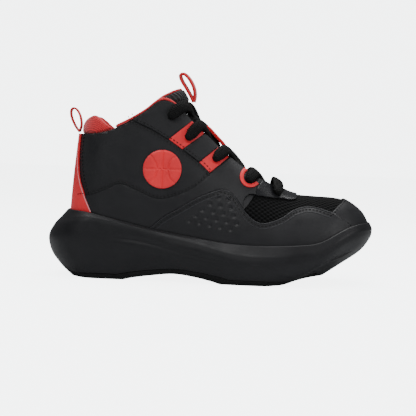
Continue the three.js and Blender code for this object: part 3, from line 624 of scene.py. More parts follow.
def soleWall(u, w):
    # Catmull-Rom up the wall through the loops
    rings = np.array([soleLoopPoints(loop, u) for loop in soleLoops])
    t = w * (len(soleLoops) - 1)
    i = np.clip(t.astype(int), 0, len(soleLoops) - 2)
    f = (t - i)[:, None]
    k = np.arange(len(u))
    a, b = rings[np.maximum(i - 1, 0), k], rings[i, k]
    c, d = rings[i + 1, k], rings[np.minimum(i + 2, len(soleLoops) - 1), k]
    # the lip under the top edge stays a crisp flat band
    tangentIn = np.where((i == 5)[:, None], (c - b), (c - a) * 0.5)
    tangentOut = np.where((i >= 4)[:, None], (c - b), (d - b) * 0.5)
    h00, h10 = 2 * f ** 3 - 3 * f ** 2 + 1, f ** 3 - 2 * f ** 2 + f
    h01, h11 = -2 * f ** 3 + 3 * f ** 2, f ** 3 - f ** 2
    return h00 * b + h10 * tangentIn + h01 * c + h11 * tangentOut


def ringPiece(name, rings, material, body="shoe", uvScale=None):
    # a grid whose rows are laid on the given rings, with the seam and the poles merged
    rows, count = len(rings) - 1, len(rings[0]) - 1
    bm = bmesh.new()
    bmesh.ops.create_grid(bm, x_segments=count, y_segments=rows, size=0.5)
    layer = bm.loops.layers.uv.new("cloth")
    left = min(v.co.x for v in bm.verts)
    low = min(v.co.y for v in bm.verts)
    wide = max(v.co.x for v in bm.verts) - left
    tall = max(v.co.y for v in bm.verts) - low
    index = {v: (round((v.co.x - left) / wide * count), round((v.co.y - low) / tall * rows)) for v in bm.verts}
    if uvScale is not None:
        for face in bm.faces:
            for loop in face.loops:
                i, j = index[loop.vert]
                loop[layer].uv = (i / count * uvScale[0], j / rows * uvScale[1])
    placed = np.array(rings)
    for v, (i, j) in index.items():
        v.co = placed[j, i]
    bmesh.ops.remove_doubles(bm, verts=bm.verts, dist=2e-6)
    bmesh.ops.recalc_face_normals(bm, faces=bm.faces)
    piece = finishPiece(bm, name, material)
    if body is not None:
        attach(piece, body)
    return piece


def softGroove(x, z, line, width, depth):
    # pushes in along a side-view line, fading at its ends
    points = smoothLine(line, 60)
    away = np.hypot(x[:, None] - points[:, 0], z[:, None] - points[:, 1])
    where = away.argmin(axis=1) / (len(points) - 1)
    fade = ease(where, 0, 0.25) * (1 - ease(where, 0.7, 1))
    return -depth * np.exp(-(away.min(axis=1) / width) ** 2) * fade


sideCrease = [(36, 33), (52, 31), (66, 29.5), (82, 26.5), (100, 22), (125, 17.5), (146, 15)]
wrapLine = [(140, 11), (147, 13.8), (152, 14.6), (160, 13.2), (170, 9.6), (184, 7.4), (198, 10)]

around = np.linspace(0, 1, soleLook["around"] + 1)
levels = np.linspace(0, 1, 161)
wallHeights = np.array([soleWall(around, np.full_like(around, w))[:, 2] for w in levels])
outsoleRise = soleLook["outsoleHeight"] * (1 - ease(soleWall(around, np.zeros_like(around))[:, 0], 186, 205))
splitHeight = wallHeights[0] + np.maximum(outsoleRise, 0.5)
splitLevel = levels[(wallHeights > splitHeight).argmax(axis=0)]


def soleRing(w, grow=0.0):
    p = soleWall(around, np.clip(w, 0, 1))
    middle = np.clip(p[:, 0], 45, 190)
    away = np.stack([p[:, 0] - middle, p[:, 1] - centreLine(p[:, 0]), np.zeros(len(p))], -1)
    away /= np.maximum(np.linalg.norm(away, axis=1, keepdims=True), 1e-6)
    push = softGroove(p[:, 0], p[:, 2], sideCrease, 2.2, soleLook["creaseDepth"])
    push -= softGroove(p[:, 0], p[:, 2], wrapLine, 0.8, 0.35)
    return p + away * (push + grow)[:, None]


def acrossRings(edge, count, height):
    # rings that shrink from an edge ring to the sole's centre line
    out = []
    for share in np.linspace(0, 1, count + 1)[1:]:
        ring = edge.copy()
        ring[:, 1] = centreLine(ring[:, 0]) + (edge[:, 1] - centreLine(edge[:, 0])) * (1 - share)
        ring[:, 2] = height(ring, edge, share)
        out.append(ring)
    return out


def treadHeight(ring, edge, share):
    # herringbone channels pressed up into the flat ground face
    zigzag = np.abs((ring[:, 1] / 9) % 2 - 1) * 5
    channel = np.abs(((ring[:, 0] + zigzag) / 6) % 1 - 0.5) * 6
    depth = 1.2 * (1 - ease(channel, 0.4, 0.9)) * (1 - share ** 12) * ease(share, 0.04, 0.1)
    return edge[:, 2] + depth


def wallRings(low, high, count, grow=0.0):
    return [soleRing(low + (high - low) * t, grow) for t in np.linspace(0, 1, count)]


lowEdge = soleRing(np.zeros_like(around))
outsoleTop = soleRing(splitLevel)
tucked = outsoleTop.copy()
tucked[:, 1] = centreLine(tucked[:, 0]) + (tucked[:, 1] - centreLine(tucked[:, 0])) * 0.96
outsoleRings = (acrossRings(lowEdge, 60, treadHeight)[::-1] + wallRings(np.zeros_like(around), splitLevel, 6)
                + [tucked] + acrossRings(tucked, 5, lambda ring, edge, share: edge[:, 2]))
outsole = ringPiece("outsoleTread", [toFrame(r) for r in outsoleRings], soleRubber)
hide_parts("outsole")

midLow = soleRing(splitLevel + 0.006, -0.5)
lipRise = soleRing(np.ones_like(around))


def lipInward(ring, inset, z):
    out = ring.copy()
    middle = np.clip(ring[:, 0], 45, 190)
    away = np.stack([ring[:, 0] - middle, ring[:, 1] - centreLine(ring[:, 0])], -1)
    away /= np.maximum(np.linalg.norm(away, axis=1, keepdims=True), 1e-6)
    out[:, :2] -= away * inset
    out[:, 2] = z
    return out


# the well lies under the board, and its floor is lower still ahead of the sockliner
wellFloor = np.minimum(footbed(np.clip(lipRise[:, 0] - 3.4, 16, 236)) - 2.8, lipRise[:, 2] - 5)
midsoleRings = (acrossRings(midLow, 4, lambda ring, edge, share: edge[:, 2])[::-1] + [midLow]
                + wallRings(splitLevel + 0.006, np.ones_like(around), soleLook["up"])
                + [lipInward(lipRise, 0.5, lipRise[:, 2] + 0.35), lipInward(lipRise, 1.3, lipRise[:, 2] + 0.3),
                   lipInward(lipRise, 1.75, lipRise[:, 2] - 0.4), lipInward(lipRise, 1.8, lipRise[:, 2] - 4),
                   lipInward(lipRise, 3.0, wellFloor)])
midsoleRings += acrossRings(midsoleRings[-1], 5, lambda ring, edge, share: edge[:, 2])
midsole = ringPiece("midsoleBody", [toFrame(r) for r in midsoleRings], soleFoam)
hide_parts("midsole")
print("sole built")


# sweeps: a section carried along a line, wide across the surface and thin along its normal
def sweep(points, across, halfWide, halfThick, count=20, power=2.0, capped=True):
    points = np.asarray(points, float)
    tangent = np.gradient(points, axis=0)
    tangent /= np.maximum(np.linalg.norm(tangent, axis=1, keepdims=True), 1e-12)
    across = np.asarray(across, float) - tangent * np.sum(across * tangent, axis=1, keepdims=True)
    across /= np.maximum(np.linalg.norm(across, axis=1, keepdims=True), 1e-9)
    up = np.cross(tangent, across)
    angle = np.linspace(0, 2 * np.pi, count + 1)
    c, d = np.cos(angle), np.sin(angle)
    c, d = np.sign(c) * np.abs(c) ** (2 / power), np.sign(d) * np.abs(d) ** (2 / power)
    wide = np.broadcast_to(halfWide, len(points)) * mm
    thick = np.broadcast_to(halfThick, len(points)) * mm
    rings = [p + a * (w * c)[:, None] + u * (h * d)[:, None]
             for p, a, u, w, h in zip(points, across, up, wide, thick)]
    if capped:
        rings = [np.repeat(points[:1], count + 1, 0)] + rings + [np.repeat(points[-1:], count + 1, 0)]
    return rings


def even(points, spacing):
    # the same line in steps of about one spacing, in metres, with anything carried beside it
    run = np.r_[0, np.cumsum(np.linalg.norm(np.diff(points[:, :3], axis=0), axis=1))]
    at = np.linspace(0, run[-1], max(int(run[-1] / (spacing * mm)), 4))
    return np.stack([np.interp(at, run, points[:, k]) for k in range(points.shape[1])], -1), run[-1]


def shifted(flat, distance):
    slope = np.gradient(flat, axis=0)
    slope /= np.linalg.norm(slope, axis=1, keepdims=True)
    return flat + np.stack([slope[:, 1], -slope[:, 0]], -1) * distance


def edgeTube(name, line, side, offset, radius, material, body="shoe", spacing=0.8, shift=0.0):
    flat = shifted(smoothLine(line, 160), shift)
    path, _ = even(onLast(side, flat[:, 0], flat[:, 1], np.full(len(flat), float(offset))), spacing)
    s, v = placeOnLast(side, flat[:, 0], flat[:, 1])
    normal = lastNormal(np.full(len(s), float(side)), s, v)
    share = np.linspace(0, len(flat) - 1, len(path)).astype(int)
    return ringPiece(name, sweep(path, np.cross(np.gradient(path, axis=0), normal[share]), radius, radius, 10),
                     material, body)


# lace: one flat braid from tail to tail through ten eyelets
eyelets = [(166, 65.2), (145.2, 74), (121, 88.6), (100.8, 103.6), (87.6, 118.6)]
throatHeight = profile([(84, 134), (92.5, 126.4), (103, 115.6), (114.5, 105.2), (123.3, 96.8), (138, 85.2),
                        (154.4, 74.9), (170, 68.4), (173.5, 67.4)])
laceLook = {
    "depth": 5.8, "over": 3.6, "levelStep": 3.3, "crossingRise": 8, "tailDrop": 10, "tailLean": 1,
    "halfWide": 4.3, "halfThick": 1.6, "pinch": 1.6, "pinchLength": 5.0, "ribPitch": 1.5, "rib": 0.07,
    "spacing": 0.4,
}


def ridgeAt(z):
    x = np.linspace(60, 235, 1400)
    return float(np.interp(z, instepLine(x)[::-1], x[::-1]))


def laceNode(side, s, v, offset):
    side, s, v = np.array([float(side)]), np.array([float(s)]), np.array([float(v)])
    normal = lastNormal(side, s, v)[0]
    return np.r_[lastPoint(side, s, v)[0] + normal * offset, normal]


def laceSeat(side, x, z):
    s, v = placeOnLast(side, x, z)
    return float(s), float(v)


def crossing(side, rowFrom, rowTo, level):
    (x0, z0), (x1, z1) = eyelets[rowFrom], eyelets[rowTo]
    start, end = laceSeat(side, x0, z0), laceSeat(-side, x1, z1)
    middleX = ridgeAt((z0 + z1) / 2 + laceLook["crossingRise"])
    middleS = float(stationAt(middleX))
    nearX, farX = x0 * 0.8 + middleX * 0.2, x1 * 0.7 + middleX * 0.3
    near = laceSeat(side, nearX, max(float(throatHeight(nearX)), z0 + 1))
    far = laceSeat(-side, farX, max(float(throatHeight(farX)), z1 + 1))
    depth, over = laceLook["depth"], laceLook["over"]
    return [laceNode(side, *start, -depth), laceNode(side, *near, -depth),
            laceNode(side, (near[0] + middleS) / 2, (near[1] + 1) / 2, (level - depth) / 2),
            laceNode(side, middleS, 1, level),
            laceNode(-side, (far[0] + middleS) / 2, (far[1] + 1) / 2, (level + over) / 2),
            laceNode(-side, *far, over + 0.3), laceNode(-side, *end, over), laceNode(-side, *end, 0)]


def strand(side, level):
    under = -laceLook["depth"]
    other = 2 * under + laceLook["levelStep"] - level
    out = []
    for row in range(4):
        out += crossing(side, row, row + 1, level if row % 2 == 0 else other)
        side = -side
    x, z = eyelets[4]
    out.append(laceNode(side, *laceSeat(side, x, z), under))
    for lean, drop in ((0, 4), (laceLook["tailLean"], laceLook["tailDrop"])):
        out.append(laceNode(side, *laceSeat(side, x + lean, z - drop), under - 0.8))
    return out


def frontBar(side):
    s, v = laceSeat(side, *eyelets[0])
    return [laceNode(side, s, v, 0), laceNode(side, s, v, laceLook["over"]),
            laceNode(side, s, (v + 1) / 2, laceLook["over"] + 0.2)]


def laceRoute():
    under = -laceLook["depth"]
    barS = laceSeat(1, *eyelets[0])[0]
    route = (strand(1, under)[::-1] + frontBar(1) + [laceNode(1, barS, 1, laceLook["over"] + 0.2)]
             + frontBar(-1)[::-1] + strand(-1, under + laceLook["levelStep"]))
    return smoothLine(np.array(route), 2600)


def makeLace():
    route = laceRoute()
    path, length = even(np.c_[toFrame(route[:, :3]), route[:, 3:]], laceLook["spacing"])
    tangent = np.gradient(path[:, :3], axis=0)
    tangent /= np.linalg.norm(tangent, axis=1, keepdims=True)
    across = np.cross(path[:, 3:], tangent)
    strength = np.linalg.norm(across, axis=1)
    across /= np.maximum(strength, 1e-9)[:, None]
    for i in range(1, len(across)):
        if across[i] @ across[i - 1] < 0:
            across[i] *= -1
    # where the lace dives through a hole its width follows from the stretches beside it
    firm = strength > 0.5
    steps = np.arange(len(across))
    across = np.stack([np.interp(steps, steps[firm], across[firm, k]) for k in range(3)], -1)
    kernel = np.hanning(15) / np.hanning(15).sum()
    across = np.stack([np.convolve(np.pad(across[:, k], 7, "edge"), kernel, "valid") for k in range(3)], -1)
    holes = np.array([onLast(side, np.array([x]), np.array([z]), np.zeros(1))[0]
                      for side in (-1, 1) for x, z in eyelets])
    away = np.linalg.norm(path[:, None, :3] - holes, axis=2).min(axis=1) / mm
    loose = ease(away, 1.5, laceLook["pinchLength"])
    run = np.linspace(0, length / mm, len(path))
    rib = 1 + laceLook["rib"] * np.sin(2 * np.pi * run / laceLook["ribPitch"])
    wide = (laceLook["pinch"] + (laceLook["halfWide"] - laceLook["pinch"]) * loose) * rib
    piece = ringPiece("laceBraidCord", sweep(path[:, :3], across, wide, laceLook["halfThick"] * rib, 20, 2.3),
                      laceBraid, uvScale=(16, length / mm))
    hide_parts("lace")
    print("lace length", round(length, 4))
    return piece


makeLace()


# tongue: one padded sheet over the instep, with its top trim on a body of its own
tongueLook = {"seat": 7.6, "lift": 0.6, "thickness": 3.5, "rows": 110, "across": 200, "ribs": 13, "rib": 0.38,
              "ribFrom": 112, "topBulge": 1.6}
tongueEdge = [(181, 60), (172, 58), (160, 60), (140, 69), (120, 81.5), (106, 93), (94, 106), (86, 118), (79, 131.4)]


def tongueDepth(x, z):
    return tongueLook["seat"] - (tongueLook["seat"] - tongueLook["lift"]) * ease(z, 127, 133) * ease(x, 88, 96)


def tongueSection(t, shrink=1.0):
    edgeX, edgeZ = smoothLine(tongueEdge, 200)[int(round(t * 199))]
    ridgeX = 181 - 85 * t
    ridgeZ = float(instepLine(ridgeX))
    share = np.linspace(-1, 1, tongueLook["across"] + 1)
    side = np.where(share < 0, -1.0, 1.0)
    # in side view each row is a straight line from the ridge to the tongue's edge
    w = share ** 2
    bulge = ease(t, 0.85, 1) * tongueLook["topBulge"] * np.sin(np.pi * w)
    s, v = placeOnLast(side, ridgeX + (edgeX - ridgeX) * w, ridgeZ + (edgeZ - ridgeZ) * w + bulge)
    base, normal = lastPoint(side, s, v), lastNormal(side, s, v)
    half = tongueLook["thickness"] / 2 * np.sqrt(1 - np.abs(share) ** 6) * shrink
    ribbed = tongueLook["rib"] * np.cos(2 * np.pi * share * tongueLook["ribs"])
    ribbed = ribbed * ease(base[:, 2], tongueLook["ribFrom"], tongueLook["ribFrom"] + 6)
    middle = -tongueDepth(base[:, 0], base[:, 2]) - tongueLook["thickness"] / 2
    top = base + normal * (middle + half + ribbed * shrink * (1 - np.abs(share) ** 6))[:, None]
    low = base + normal * (middle - half)[:, None]
    return toFrame(np.vstack([top, low[::-1][1:]]))


def makeTongue():
    steps = np.linspace(0, 1, tongueLook["rows"])
    ends = ease(steps, 0, 0.012) * (1 - ease(steps, 0.988, 1))
    rings = [tongueSection(t, max(math.sqrt(e), 0.0)) for t, e in zip(steps, ends)]
    piece = ringPiece("tonguePad", rings, sockFabric,
                      None, uvScale=(80, 150))
    return piece, rings[-1]


tonguePad, tongueTop = makeTongue()
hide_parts("tongue", "tongue_flap")
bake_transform(tonguePad)
topRow = tongueTop[:tongueLook["across"] + 1]
topPath, _ = even(topRow, 0.7)
ringPiece("tongueTopTrim", sweep(topPath, np.tile([[1.0, 0.0, 0.6]], (len(topPath), 1)), 1.0, 0.9, 14), redBinding,
          "tongue_flap")

# the keeper strap that arches over the lace on the tongue's middle
keeperLook = {"from": 112.5, "to": 130.5, "foot": -6.5, "top": 0.2, "halfWide": 6.0, "halfThick": 1.35}
stripX = np.linspace(keeperLook["from"], keeperLook["to"], 90)
stripShare = (stripX - keeperLook["from"]) / (keeperLook["to"] - keeperLook["from"])
arch = keeperLook["foot"] + (keeperLook["top"] - keeperLook["foot"]) * (1 - np.abs(2 * stripShare - 1) ** 7)
stripS = stationAt(stripX)
strip, _ = even(offLast(1, stripS, np.ones(len(stripS)), arch), 0.5)
keeper = ringPiece("laceKeeper", sweep(strip, np.tile([[0.0, 1.0, 0.0]], (len(strip), 1)), keeperLook["halfWide"],
                                       keeperLook["halfThick"], 28, 5.0), webbingRed, uvScale=(24, 34))
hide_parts("tongue_tab")
print("lace and tongue built")


# webbing pull loops, each on its own body
loopLook = {"heelHalfThick": 0.7, "tongueHalfThick": 1.0, "heelHalfWide": 4.5, "tongueHalfWide": 4.0,
            "power": 5.0, "spacing": 0.5, "heelAcross": [0.0, 1.0, 0.0], "tongueAcross": [0.16, 1.0, 0.08]}
heelLoopLine = [(20, 105.6), (21.2, 109.5), (21.2, 113), (20, 118), (17.6, 121.8), (15, 122.9), (13.4, 120.6),
                (14, 116), (16.8, 110), (20, 105.6)]
tongueLoopLine = [(104, 130.6), (104.6, 135.2), (103.9, 140.3), (101.6, 145.3), (98.6, 149.2), (95.4, 151.2),
                  (93.5, 149.6), (94.8, 145.8), (98.2, 140.6), (101.4, 135.4), (104, 130.6)]


def pullLoop(name, node, line, halfWide, halfThick, across):
    flat = smoothLine(line, 240)
    points = toFrame(np.stack([flat[:, 0], np.zeros(len(flat)), flat[:, 1]], -1))
    path, length = even(points, loopLook["spacing"])
    rings = sweep(path, np.tile([across], (len(path), 1)), halfWide, halfThick, 28,
                  loopLook["power"])
    piece = ringPiece(name, rings, webbingRed, node, uvScale=(4 * halfWide, length / mm))
    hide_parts(node)


pullLoop("heelPullLoop", "heel_loop", heelLoopLine, loopLook["heelHalfWide"],
         loopLook["heelHalfThick"], loopLook["heelAcross"])
pullLoop("tonguePullLoop", "tongue_loop", tongueLoopLine, loopLook["tongueHalfWide"],
         loopLook["tongueHalfThick"], loopLook["tongueAcross"])


# collar: padded heel, bound edge and lining
topHeight = profile([(14, 104.2), (33, 104.2), (41, 105.8), (50.3, 109.7), (60.5, 115.2), (70, 121.6),
                     (77.5, 128), (81.6, 129.7), (86, 129), (92.5, 125.2), (96, 122.6)])
padHeight = profile([(14, 105.2), (20, 110), (22.5, 114.4), (26, 116.9), (30.2, 117.9), (35.6, 115.6),
                     (41, 112.4), (46.5, 109.4), (50, 107.6)])
padLook = {"outer": 1.2, "inner": 6.2, "tuck": -0.4, "front": 46.5, "columns": 150, "around": 36, "power": 2.6}


def liningDepth(x, z):
    counter, puff = 1 - ease(x, 76, 90), ease(x, 186, 198)
    foam = ease(z, 80, 88) * (1 - ease(x, 70, 82))
    return 1.5 + 1.4 * np.maximum(counter, puff) + 2.5 * foam


def makeHeelPad():
    # a crowned roll round the heel, laid above the quarter's top edge
    angle = np.linspace(0, 2 * np.pi, padLook["around"] + 1)
    across = np.sign(np.cos(angle)) * np.abs(np.cos(angle)) ** (2 / padLook["power"])
    upward = np.sign(np.sin(angle)) * np.abs(np.sin(angle)) ** (2 / padLook["power"])
    frontS = laceSeat(-1, padLook["front"], 109)[0]
    rings = []
    for t in np.linspace(-1, 1, padLook["columns"]):
        side, s = (-1.0 if t < 0 else 1.0), frontS * abs(t)
        x = float(lastPoint(np.array([side]), np.array([s]), shareAtHeight(np.array([s]), np.array([108.0])))[0, 0])
        closing = math.sqrt(max(1 - abs(t) ** 10, 0))
        low, top = float(topHeight(x)) - padLook["tuck"], float(padHeight(x))
        height, middle = max(top - low, 0.6) / 2 * closing, (top + low) / 2
        depth, thick = (padLook["outer"] + padLook["inner"]) / 2, (padLook["inner"] - padLook["outer"]) / 2 * closing
        z = middle + height * upward
        stations = np.full(len(z), s)
        rings.append(offLast(side, stations, shareAtHeight(stations, z), -depth + thick * across))
    rings = ([np.repeat(rings[0].mean(axis=0)[None], padLook["around"] + 1, 0)] + rings[1:-1]
             + [np.repeat(rings[-1].mean(axis=0)[None], padLook["around"] + 1, 0)])
    piece = ringPiece("heelPadRoll", rings, redLining)
    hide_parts("heel_pad")


def makeBinding(name, side):
    line = np.linspace(48.4, 92.2, 120)
    angle = np.linspace(0, 2 * np.pi, 29)
    across = np.sign(np.cos(angle)) * np.abs(np.cos(angle)) ** 0.7
    upward = np.sign(np.sin(angle)) * np.abs(np.sin(angle)) ** 0.8
    rings = []
    for i, x in enumerate(line):
        share = i / (len(line) - 1)
        closing = math.sqrt(max(1 - abs(2 * share - 1) ** 24, 0))
        z = float(topHeight(x)) + 1.35
        inner, outer = float(liningDepth(x, z)) + 1.1, 1.5
        depth = (outer - inner) / 2 + (outer + inner) / 2 * across * closing
        heights = z + 1.15 * upward * closing
        rings.append(onLast(side, np.full(len(depth), x), heights, depth))
    piece = ringPiece(f"collarEdge_{name}", rings, redBinding)
    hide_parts(f"collar_binding_{name}")


makeHeelPad()
for name, sign in (("lateral", -1), ("medial", 1)):
    makeBinding(name, sign)
panel("quarter_lining", "quarterLiningCloth", redLining, lambda x, z: -liningDepth(x, z) - 0.8, 0.75, inner=True,
      spacing=(3, 3, 3), edge=0)


# sockliner: a soft moulded footbed that lifts at the heel
sockLook = {"inset": 5.4, "lift": 0.3, "thickness": 4.0, "columns": 120, "around": 40, "rim": 1.0}


def makeSockliner():
    # one closed section across the shoe at each station
    share = np.linspace(-1, 1, sockLook["around"] + 1)
    rings = []
    for s in np.linspace(0.001, 0.999, sockLook["columns"]):
        base = [lastPoint(np.array([k]), np.array([s]), np.zeros(1))[0] for k in (-1.0, 1.0)]
        middle = (base[0][:2] + base[1][:2]) / 2
        x = last["back"] + sockLook["inset"] + (base[0][0] - last["back"]) / (last["tip"] - last["back"]) * (
            last["tip"] - last["back"] - 2 * sockLook["inset"])
        half = max(abs(base[1][1] - base[0][1]) / 2 - sockLook["inset"], 0.0)
        y = middle[1] + half * share
        low = float(footbed(x)) + sockLook["lift"]
        soft = np.sqrt(np.maximum(1 - np.abs(share) ** 14, 0))
        thick = sockLook["thickness"] * min(half / 3, 1)
        top = np.stack([np.full(len(y), x), y, low + thick * (0.5 + 0.5 * soft) - sockLook["rim"] * 0.5 * (1 - np.abs(
            share) ** 4) * min(half / 12, 1)], -1)
        under = np.stack([np.full(len(y), x), y, low + thick * (0.5 - 0.5 * soft)], -1)
        rings.append(toFrame(np.vstack([top, under[::-1][1:], top[:1]])))
    rings = [np.repeat(r.mean(axis=0)[None], len(r), 0) if i in (0, len(rings) - 1) else r
             for i, r in enumerate(rings)]
    piece = ringPiece("footbedLiner", rings, sockFabric, "sockliner")
    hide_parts("sockliner")


makeSockliner()


# emblem: a raised plain ball with sunk seams
emblemLook = {"place": (83.3, 80.4), "radius": 13.8, "height": 1.75, "base": 0.35, "seamWidth": 0.75,
              "seamDepth": 0.65, "rings": 44, "around": 200, "arcShift": 15.5, "arcRadius": 11.5}


def makeEmblem():
    turn = np.linspace(0, 2 * np.pi, emblemLook["around"] + 1)
    cx, cz = emblemLook["place"]
    rings = []
    for r in np.linspace(0, emblemLook["radius"], emblemLook["rings"]):
        x, z = r * np.cos(turn), r * np.sin(turn)
        lines = np.minimum(np.abs(x), np.abs(z))
        for shift in (-1, 1):
            lines = np.minimum(lines, np.abs(np.hypot(x - shift * emblemLook["arcShift"], z) - emblemLook["arcRadius"]))
        sunk = emblemLook["seamDepth"] * np.exp(-(lines / emblemLook["seamWidth"]) ** 4)
        edge = 0.5 * ease(r, emblemLook["radius"] - 1.2, emblemLook["radius"])
        rings.append(onLast(-1, cx + x, cz + z, emblemLook["height"] - sunk - edge))
    for r, offset in ((emblemLook["radius"], emblemLook["base"]), (0, emblemLook["base"])):
        x, z = r * np.cos(turn), r * np.sin(turn)
        rings.append(onLast(-1, cx + x, cz + z, np.full(len(turn), offset)))
    piece = ringPiece("ballRoundel", rings, redLeather)
    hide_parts("emblem_roundel")
    return piece


makeEmblem()


# stitching: one short capsule per stitch, in one mesh for each seam
stitchLook = {"pitch": 2.6, "length": 0.9, "radius": 0.42, "lift": 1.55}


def stitches(name, line, side, offset=0.0, lift=None):
    flat = shifted(smoothLine(line, 300), offset)
    points = onLast(side, flat[:, 0], flat[:, 1], np.full(len(flat), stitchLook["lift"] if lift is None else lift))
    path, length = even(points, stitchLook["pitch"])
    bm = bmesh.new()
    direction = np.gradient(path, axis=0)
    for place, along in zip(path, direction):
        turn = Vector(along).to_track_quat("X", "Z").to_matrix().to_4x4()
        size = Matrix.Diagonal((stitchLook["length"] / stitchLook["radius"], 1, 0.8, 1))
        bmesh.ops.create_icosphere(bm, subdivisions=1, radius=stitchLook["radius"] * mm,
                                   matrix=Matrix.Translation(place) @ turn @ size)
    piece = finishPiece(bm, name, threadBlack)
    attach(piece, "shoe")


mudLine = [(66, 31), (76, 38.3), (84.9, 46.1), (95.4, 52.5), (109.3, 60.9), (123.3, 66.6), (129.7, 67),
           (136.1, 62.7), (142.5, 54.1), (149.8, 46.9), (157.8, 44.6), (169.1, 48.2), (177.7, 53.6), (186.4, 56.3),
           (195.1, 56.2), (206.6, 53)]
waveLine = [(24, 58.5), (34.3, 60.8), (43.8, 64.8), (51, 68.6), (56.6, 68.4), (65.6, 64.8), (76.3, 60.2),
            (84.4, 59.2), (96.3, 63), (108.2, 69.2), (118.2, 78.5)]
seamLine = [(59, 118), (62, 114.4), (74.5, 109), (86, 102.4), (97.6, 95), (110, 86.2), (118.2, 78.5)]
backLine = [(22.4, 104), (21.4, 94.6), (21.8, 82.5), (23.9, 70.4), (27.9, 59.3), (33.2, 47.8)]
toeLine = [(206.6, 53), (212, 58.2), (217, 62.3)]
for name, sign in (("lateral", -1), ("medial", 1)):
    # the two welt tubes carry a painted highlight: black leather made lighter
    edgeTube(f"mudguardWeltA_{name}", mudLine, sign, 1.35, 0.5, weltLeatherHighlight, shift=0.7)
    edgeTube(f"mudguardWeltB_{name}", mudLine, sign, 1.2, 0.45, weltLeatherHighlight, shift=4.0)
    stitches(f"mudguardStitch_{name}", mudLine, sign, 2.3)
    stitches(f"waveStitch_{name}", waveLine, sign, -1.6)
    stitches(f"eyestayStitchA_{name}", seamLine, sign, -1.6)
    stitches(f"eyestayStitchB_{name}", seamLine, sign, 1.6, lift=1.5)
    stitches(f"backstayStitch_{name}", backLine, sign, -3.0, lift=0.25)
    # the piping tube along the backstay edge carries a painted highlight in pale pink
    edgeTube(f"backstayPiping_{name}", backLine, sign, 1.3, 0.42, pipingPaintedHighlight)
    stitches(f"toeStitch_{name}", toeLine, sign, 1.8)
throatLine = [(92.5, 126.4), (103, 115.6), (114.5, 105.2), (123.3, 96.8), (138, 85.2), (152, 76.2)]
for name, sign in (("lateral", -1), ("medial", 1)):
    edgeTube(f"throatFacing_{name}", throatLine, sign, -1.9, 1.45, redLining, shift=-0.5)
print("stitching sewn")


# red eyelet patches beside the second row of holes
patchLook = {"place": (146.6, 76.4), "radius": 6.3, "halfWide": 1.5, "halfThick": 0.5, "lift": 1.75}
for name, sign in (("lateral", -1), ("medial", 1)):
    turn = np.radians(np.linspace(125, 318, 60))
    px, pz = patchLook["place"]
    points = onLast(sign, px + patchLook["radius"] * np.cos(turn), pz + patchLook["radius"] * np.sin(turn),
                    np.full(len(turn), patchLook["lift"]))
    s, v = placeOnLast(sign, px + patchLook["radius"] * np.cos(turn), pz + patchLook["radius"] * np.sin(turn))
    normal = lastNormal(np.full(len(s), float(sign)), s, v)
    ringPiece(f"eyeletPatch_{name}", sweep(points, np.cross(np.gradient(points, axis=0), normal),
                                           patchLook["halfWide"], patchLook["halfThick"], 16, 3.0),
              redLeather)
print("details done")


# floor, light and camera
stageLook = {"floor": (0.62, 0.635, 0.645), "floorSize": 6.0, "world": (0.965, 0.995, 1.0), "worldStrength": 0.16,
             "worldSeen": 5.2, "floorGlow": 5.0}
view = {"lens": 100.0, "distance": 0.86, "azimuth": 0.0, "elevation": 2.6, "roll": 2.12,
        "target": (-0.0028, 0.0, 0.0525)}


def makeFloor():
    bm = bmesh.new()
    bmesh.ops.create_grid(bm, x_segments=1, y_segments=1, size=stageLook["floorSize"])
    material, tree, shader = newMaterial("paleFloor", stageLook["floor"], 0.75)
    tree.links.new(ramp(tree, noise(tree, 3, 2), 0.3, 0.7, scaled(stageLook["floor"], 0.99), stageLook["floor"]),
                   shader.inputs["Base Color"])
    shader.inputs["Emission Color"].default_value = (*stageLook["world"], 1)
    seen = tree.nodes.new("ShaderNodeLightPath")
    glow = mathNode(tree, "MULTIPLY", seen.outputs["Is Camera Ray"], stageLook["floorGlow"])
    tree.links.new(glow, shader.inputs["Emission Strength"])
    floor = finishPiece(bm, "floor", material)
    return floor


def softLight(name, place, aim, size, power):
    lamp = bpy.data.lights.new(name, "AREA")
    lamp.shape = "RECTANGLE"
    lamp.size, lamp.size_y = size
    lamp.energy = power
    holder = bpy.data.objects.new(name, lamp)
    holder.location = place
    holder.rotation_euler = (Vector(aim) - Vector(place)).to_track_quat("-Z", "Y").to_euler()
    bpy.context.scene.collection.objects.link(holder)


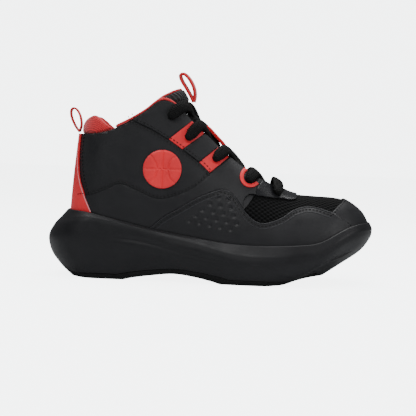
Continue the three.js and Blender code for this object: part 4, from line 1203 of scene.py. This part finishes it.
makeFloor()
softLight("keyLight", (-0.25, -0.9, 1.0), (0, 0, 0.05), (0.9, 0.7), 9.5)
softLight("sideLight", (0.95, -0.5, 0.55), (0.03, 0, 0.06), (0.5, 0.6), 3.5)
softLight("topLight", (0.0, 0.25, 1.1), (0, 0, 0.05), (1.2, 0.7), 14)
world = bpy.data.worlds.new("studio")
world.use_nodes = True
backdrop = world.node_tree.nodes["Background"]
backdrop.inputs["Color"].default_value = (*stageLook["world"], 1)
seen = world.node_tree.nodes.new("ShaderNodeLightPath")
strength = mathNode(world.node_tree, "MULTIPLY", seen.outputs["Is Camera Ray"], stageLook["worldSeen"])
strength = mathNode(world.node_tree, "ADD", strength, stageLook["worldStrength"])
world.node_tree.links.new(strength, backdrop.inputs["Strength"])
bpy.context.scene.world = world

camera = bpy.data.objects.new("camera", bpy.data.cameras.new("camera"))
camera.data.lens = view["lens"]
camera.data.sensor_width = 36.0
camera.data.clip_start = 0.01
rise = math.radians(view["elevation"])
turn = math.radians(view["azimuth"])
toward = Vector((math.sin(turn) * math.cos(rise), math.cos(turn) * math.cos(rise), -math.sin(rise)))
camera.location = Vector(view["target"]) - toward * view["distance"]
aim = toward.to_track_quat("-Z", "Y")
camera.rotation_euler = (aim @ Quaternion((0, 0, 1), math.radians(view["roll"]))).to_euler()
bpy.context.scene.collection.objects.link(camera)
bpy.context.scene.camera = camera
print("stage set")


# the CAD pieces that stay get their finish here
finishOf = {
    "black_leather": blackLeather, "red_leather": redLeather, "gloss_trim": glossTrim, "black_mesh": greyLining,
    "red_lining": redLining, "grey_lining": greyLining, "stiffener": boardFibre, "foam": paddingFoam,
    "board": boardFibre, "sock_fabric": sockFabric, "midsole_foam": soleFoam, "outsole_rubber": soleRubber,
    "lace_braid": blackLeather, "aglet_plastic": agletPlastic, "red_webbing": redBinding,
    "red_binding": redBinding,
}
for name, node in nodes.items():
    node.data.materials.clear()
    node.data.materials.append(finishOf[slotOf[name]])
print("carried-over pieces finished")
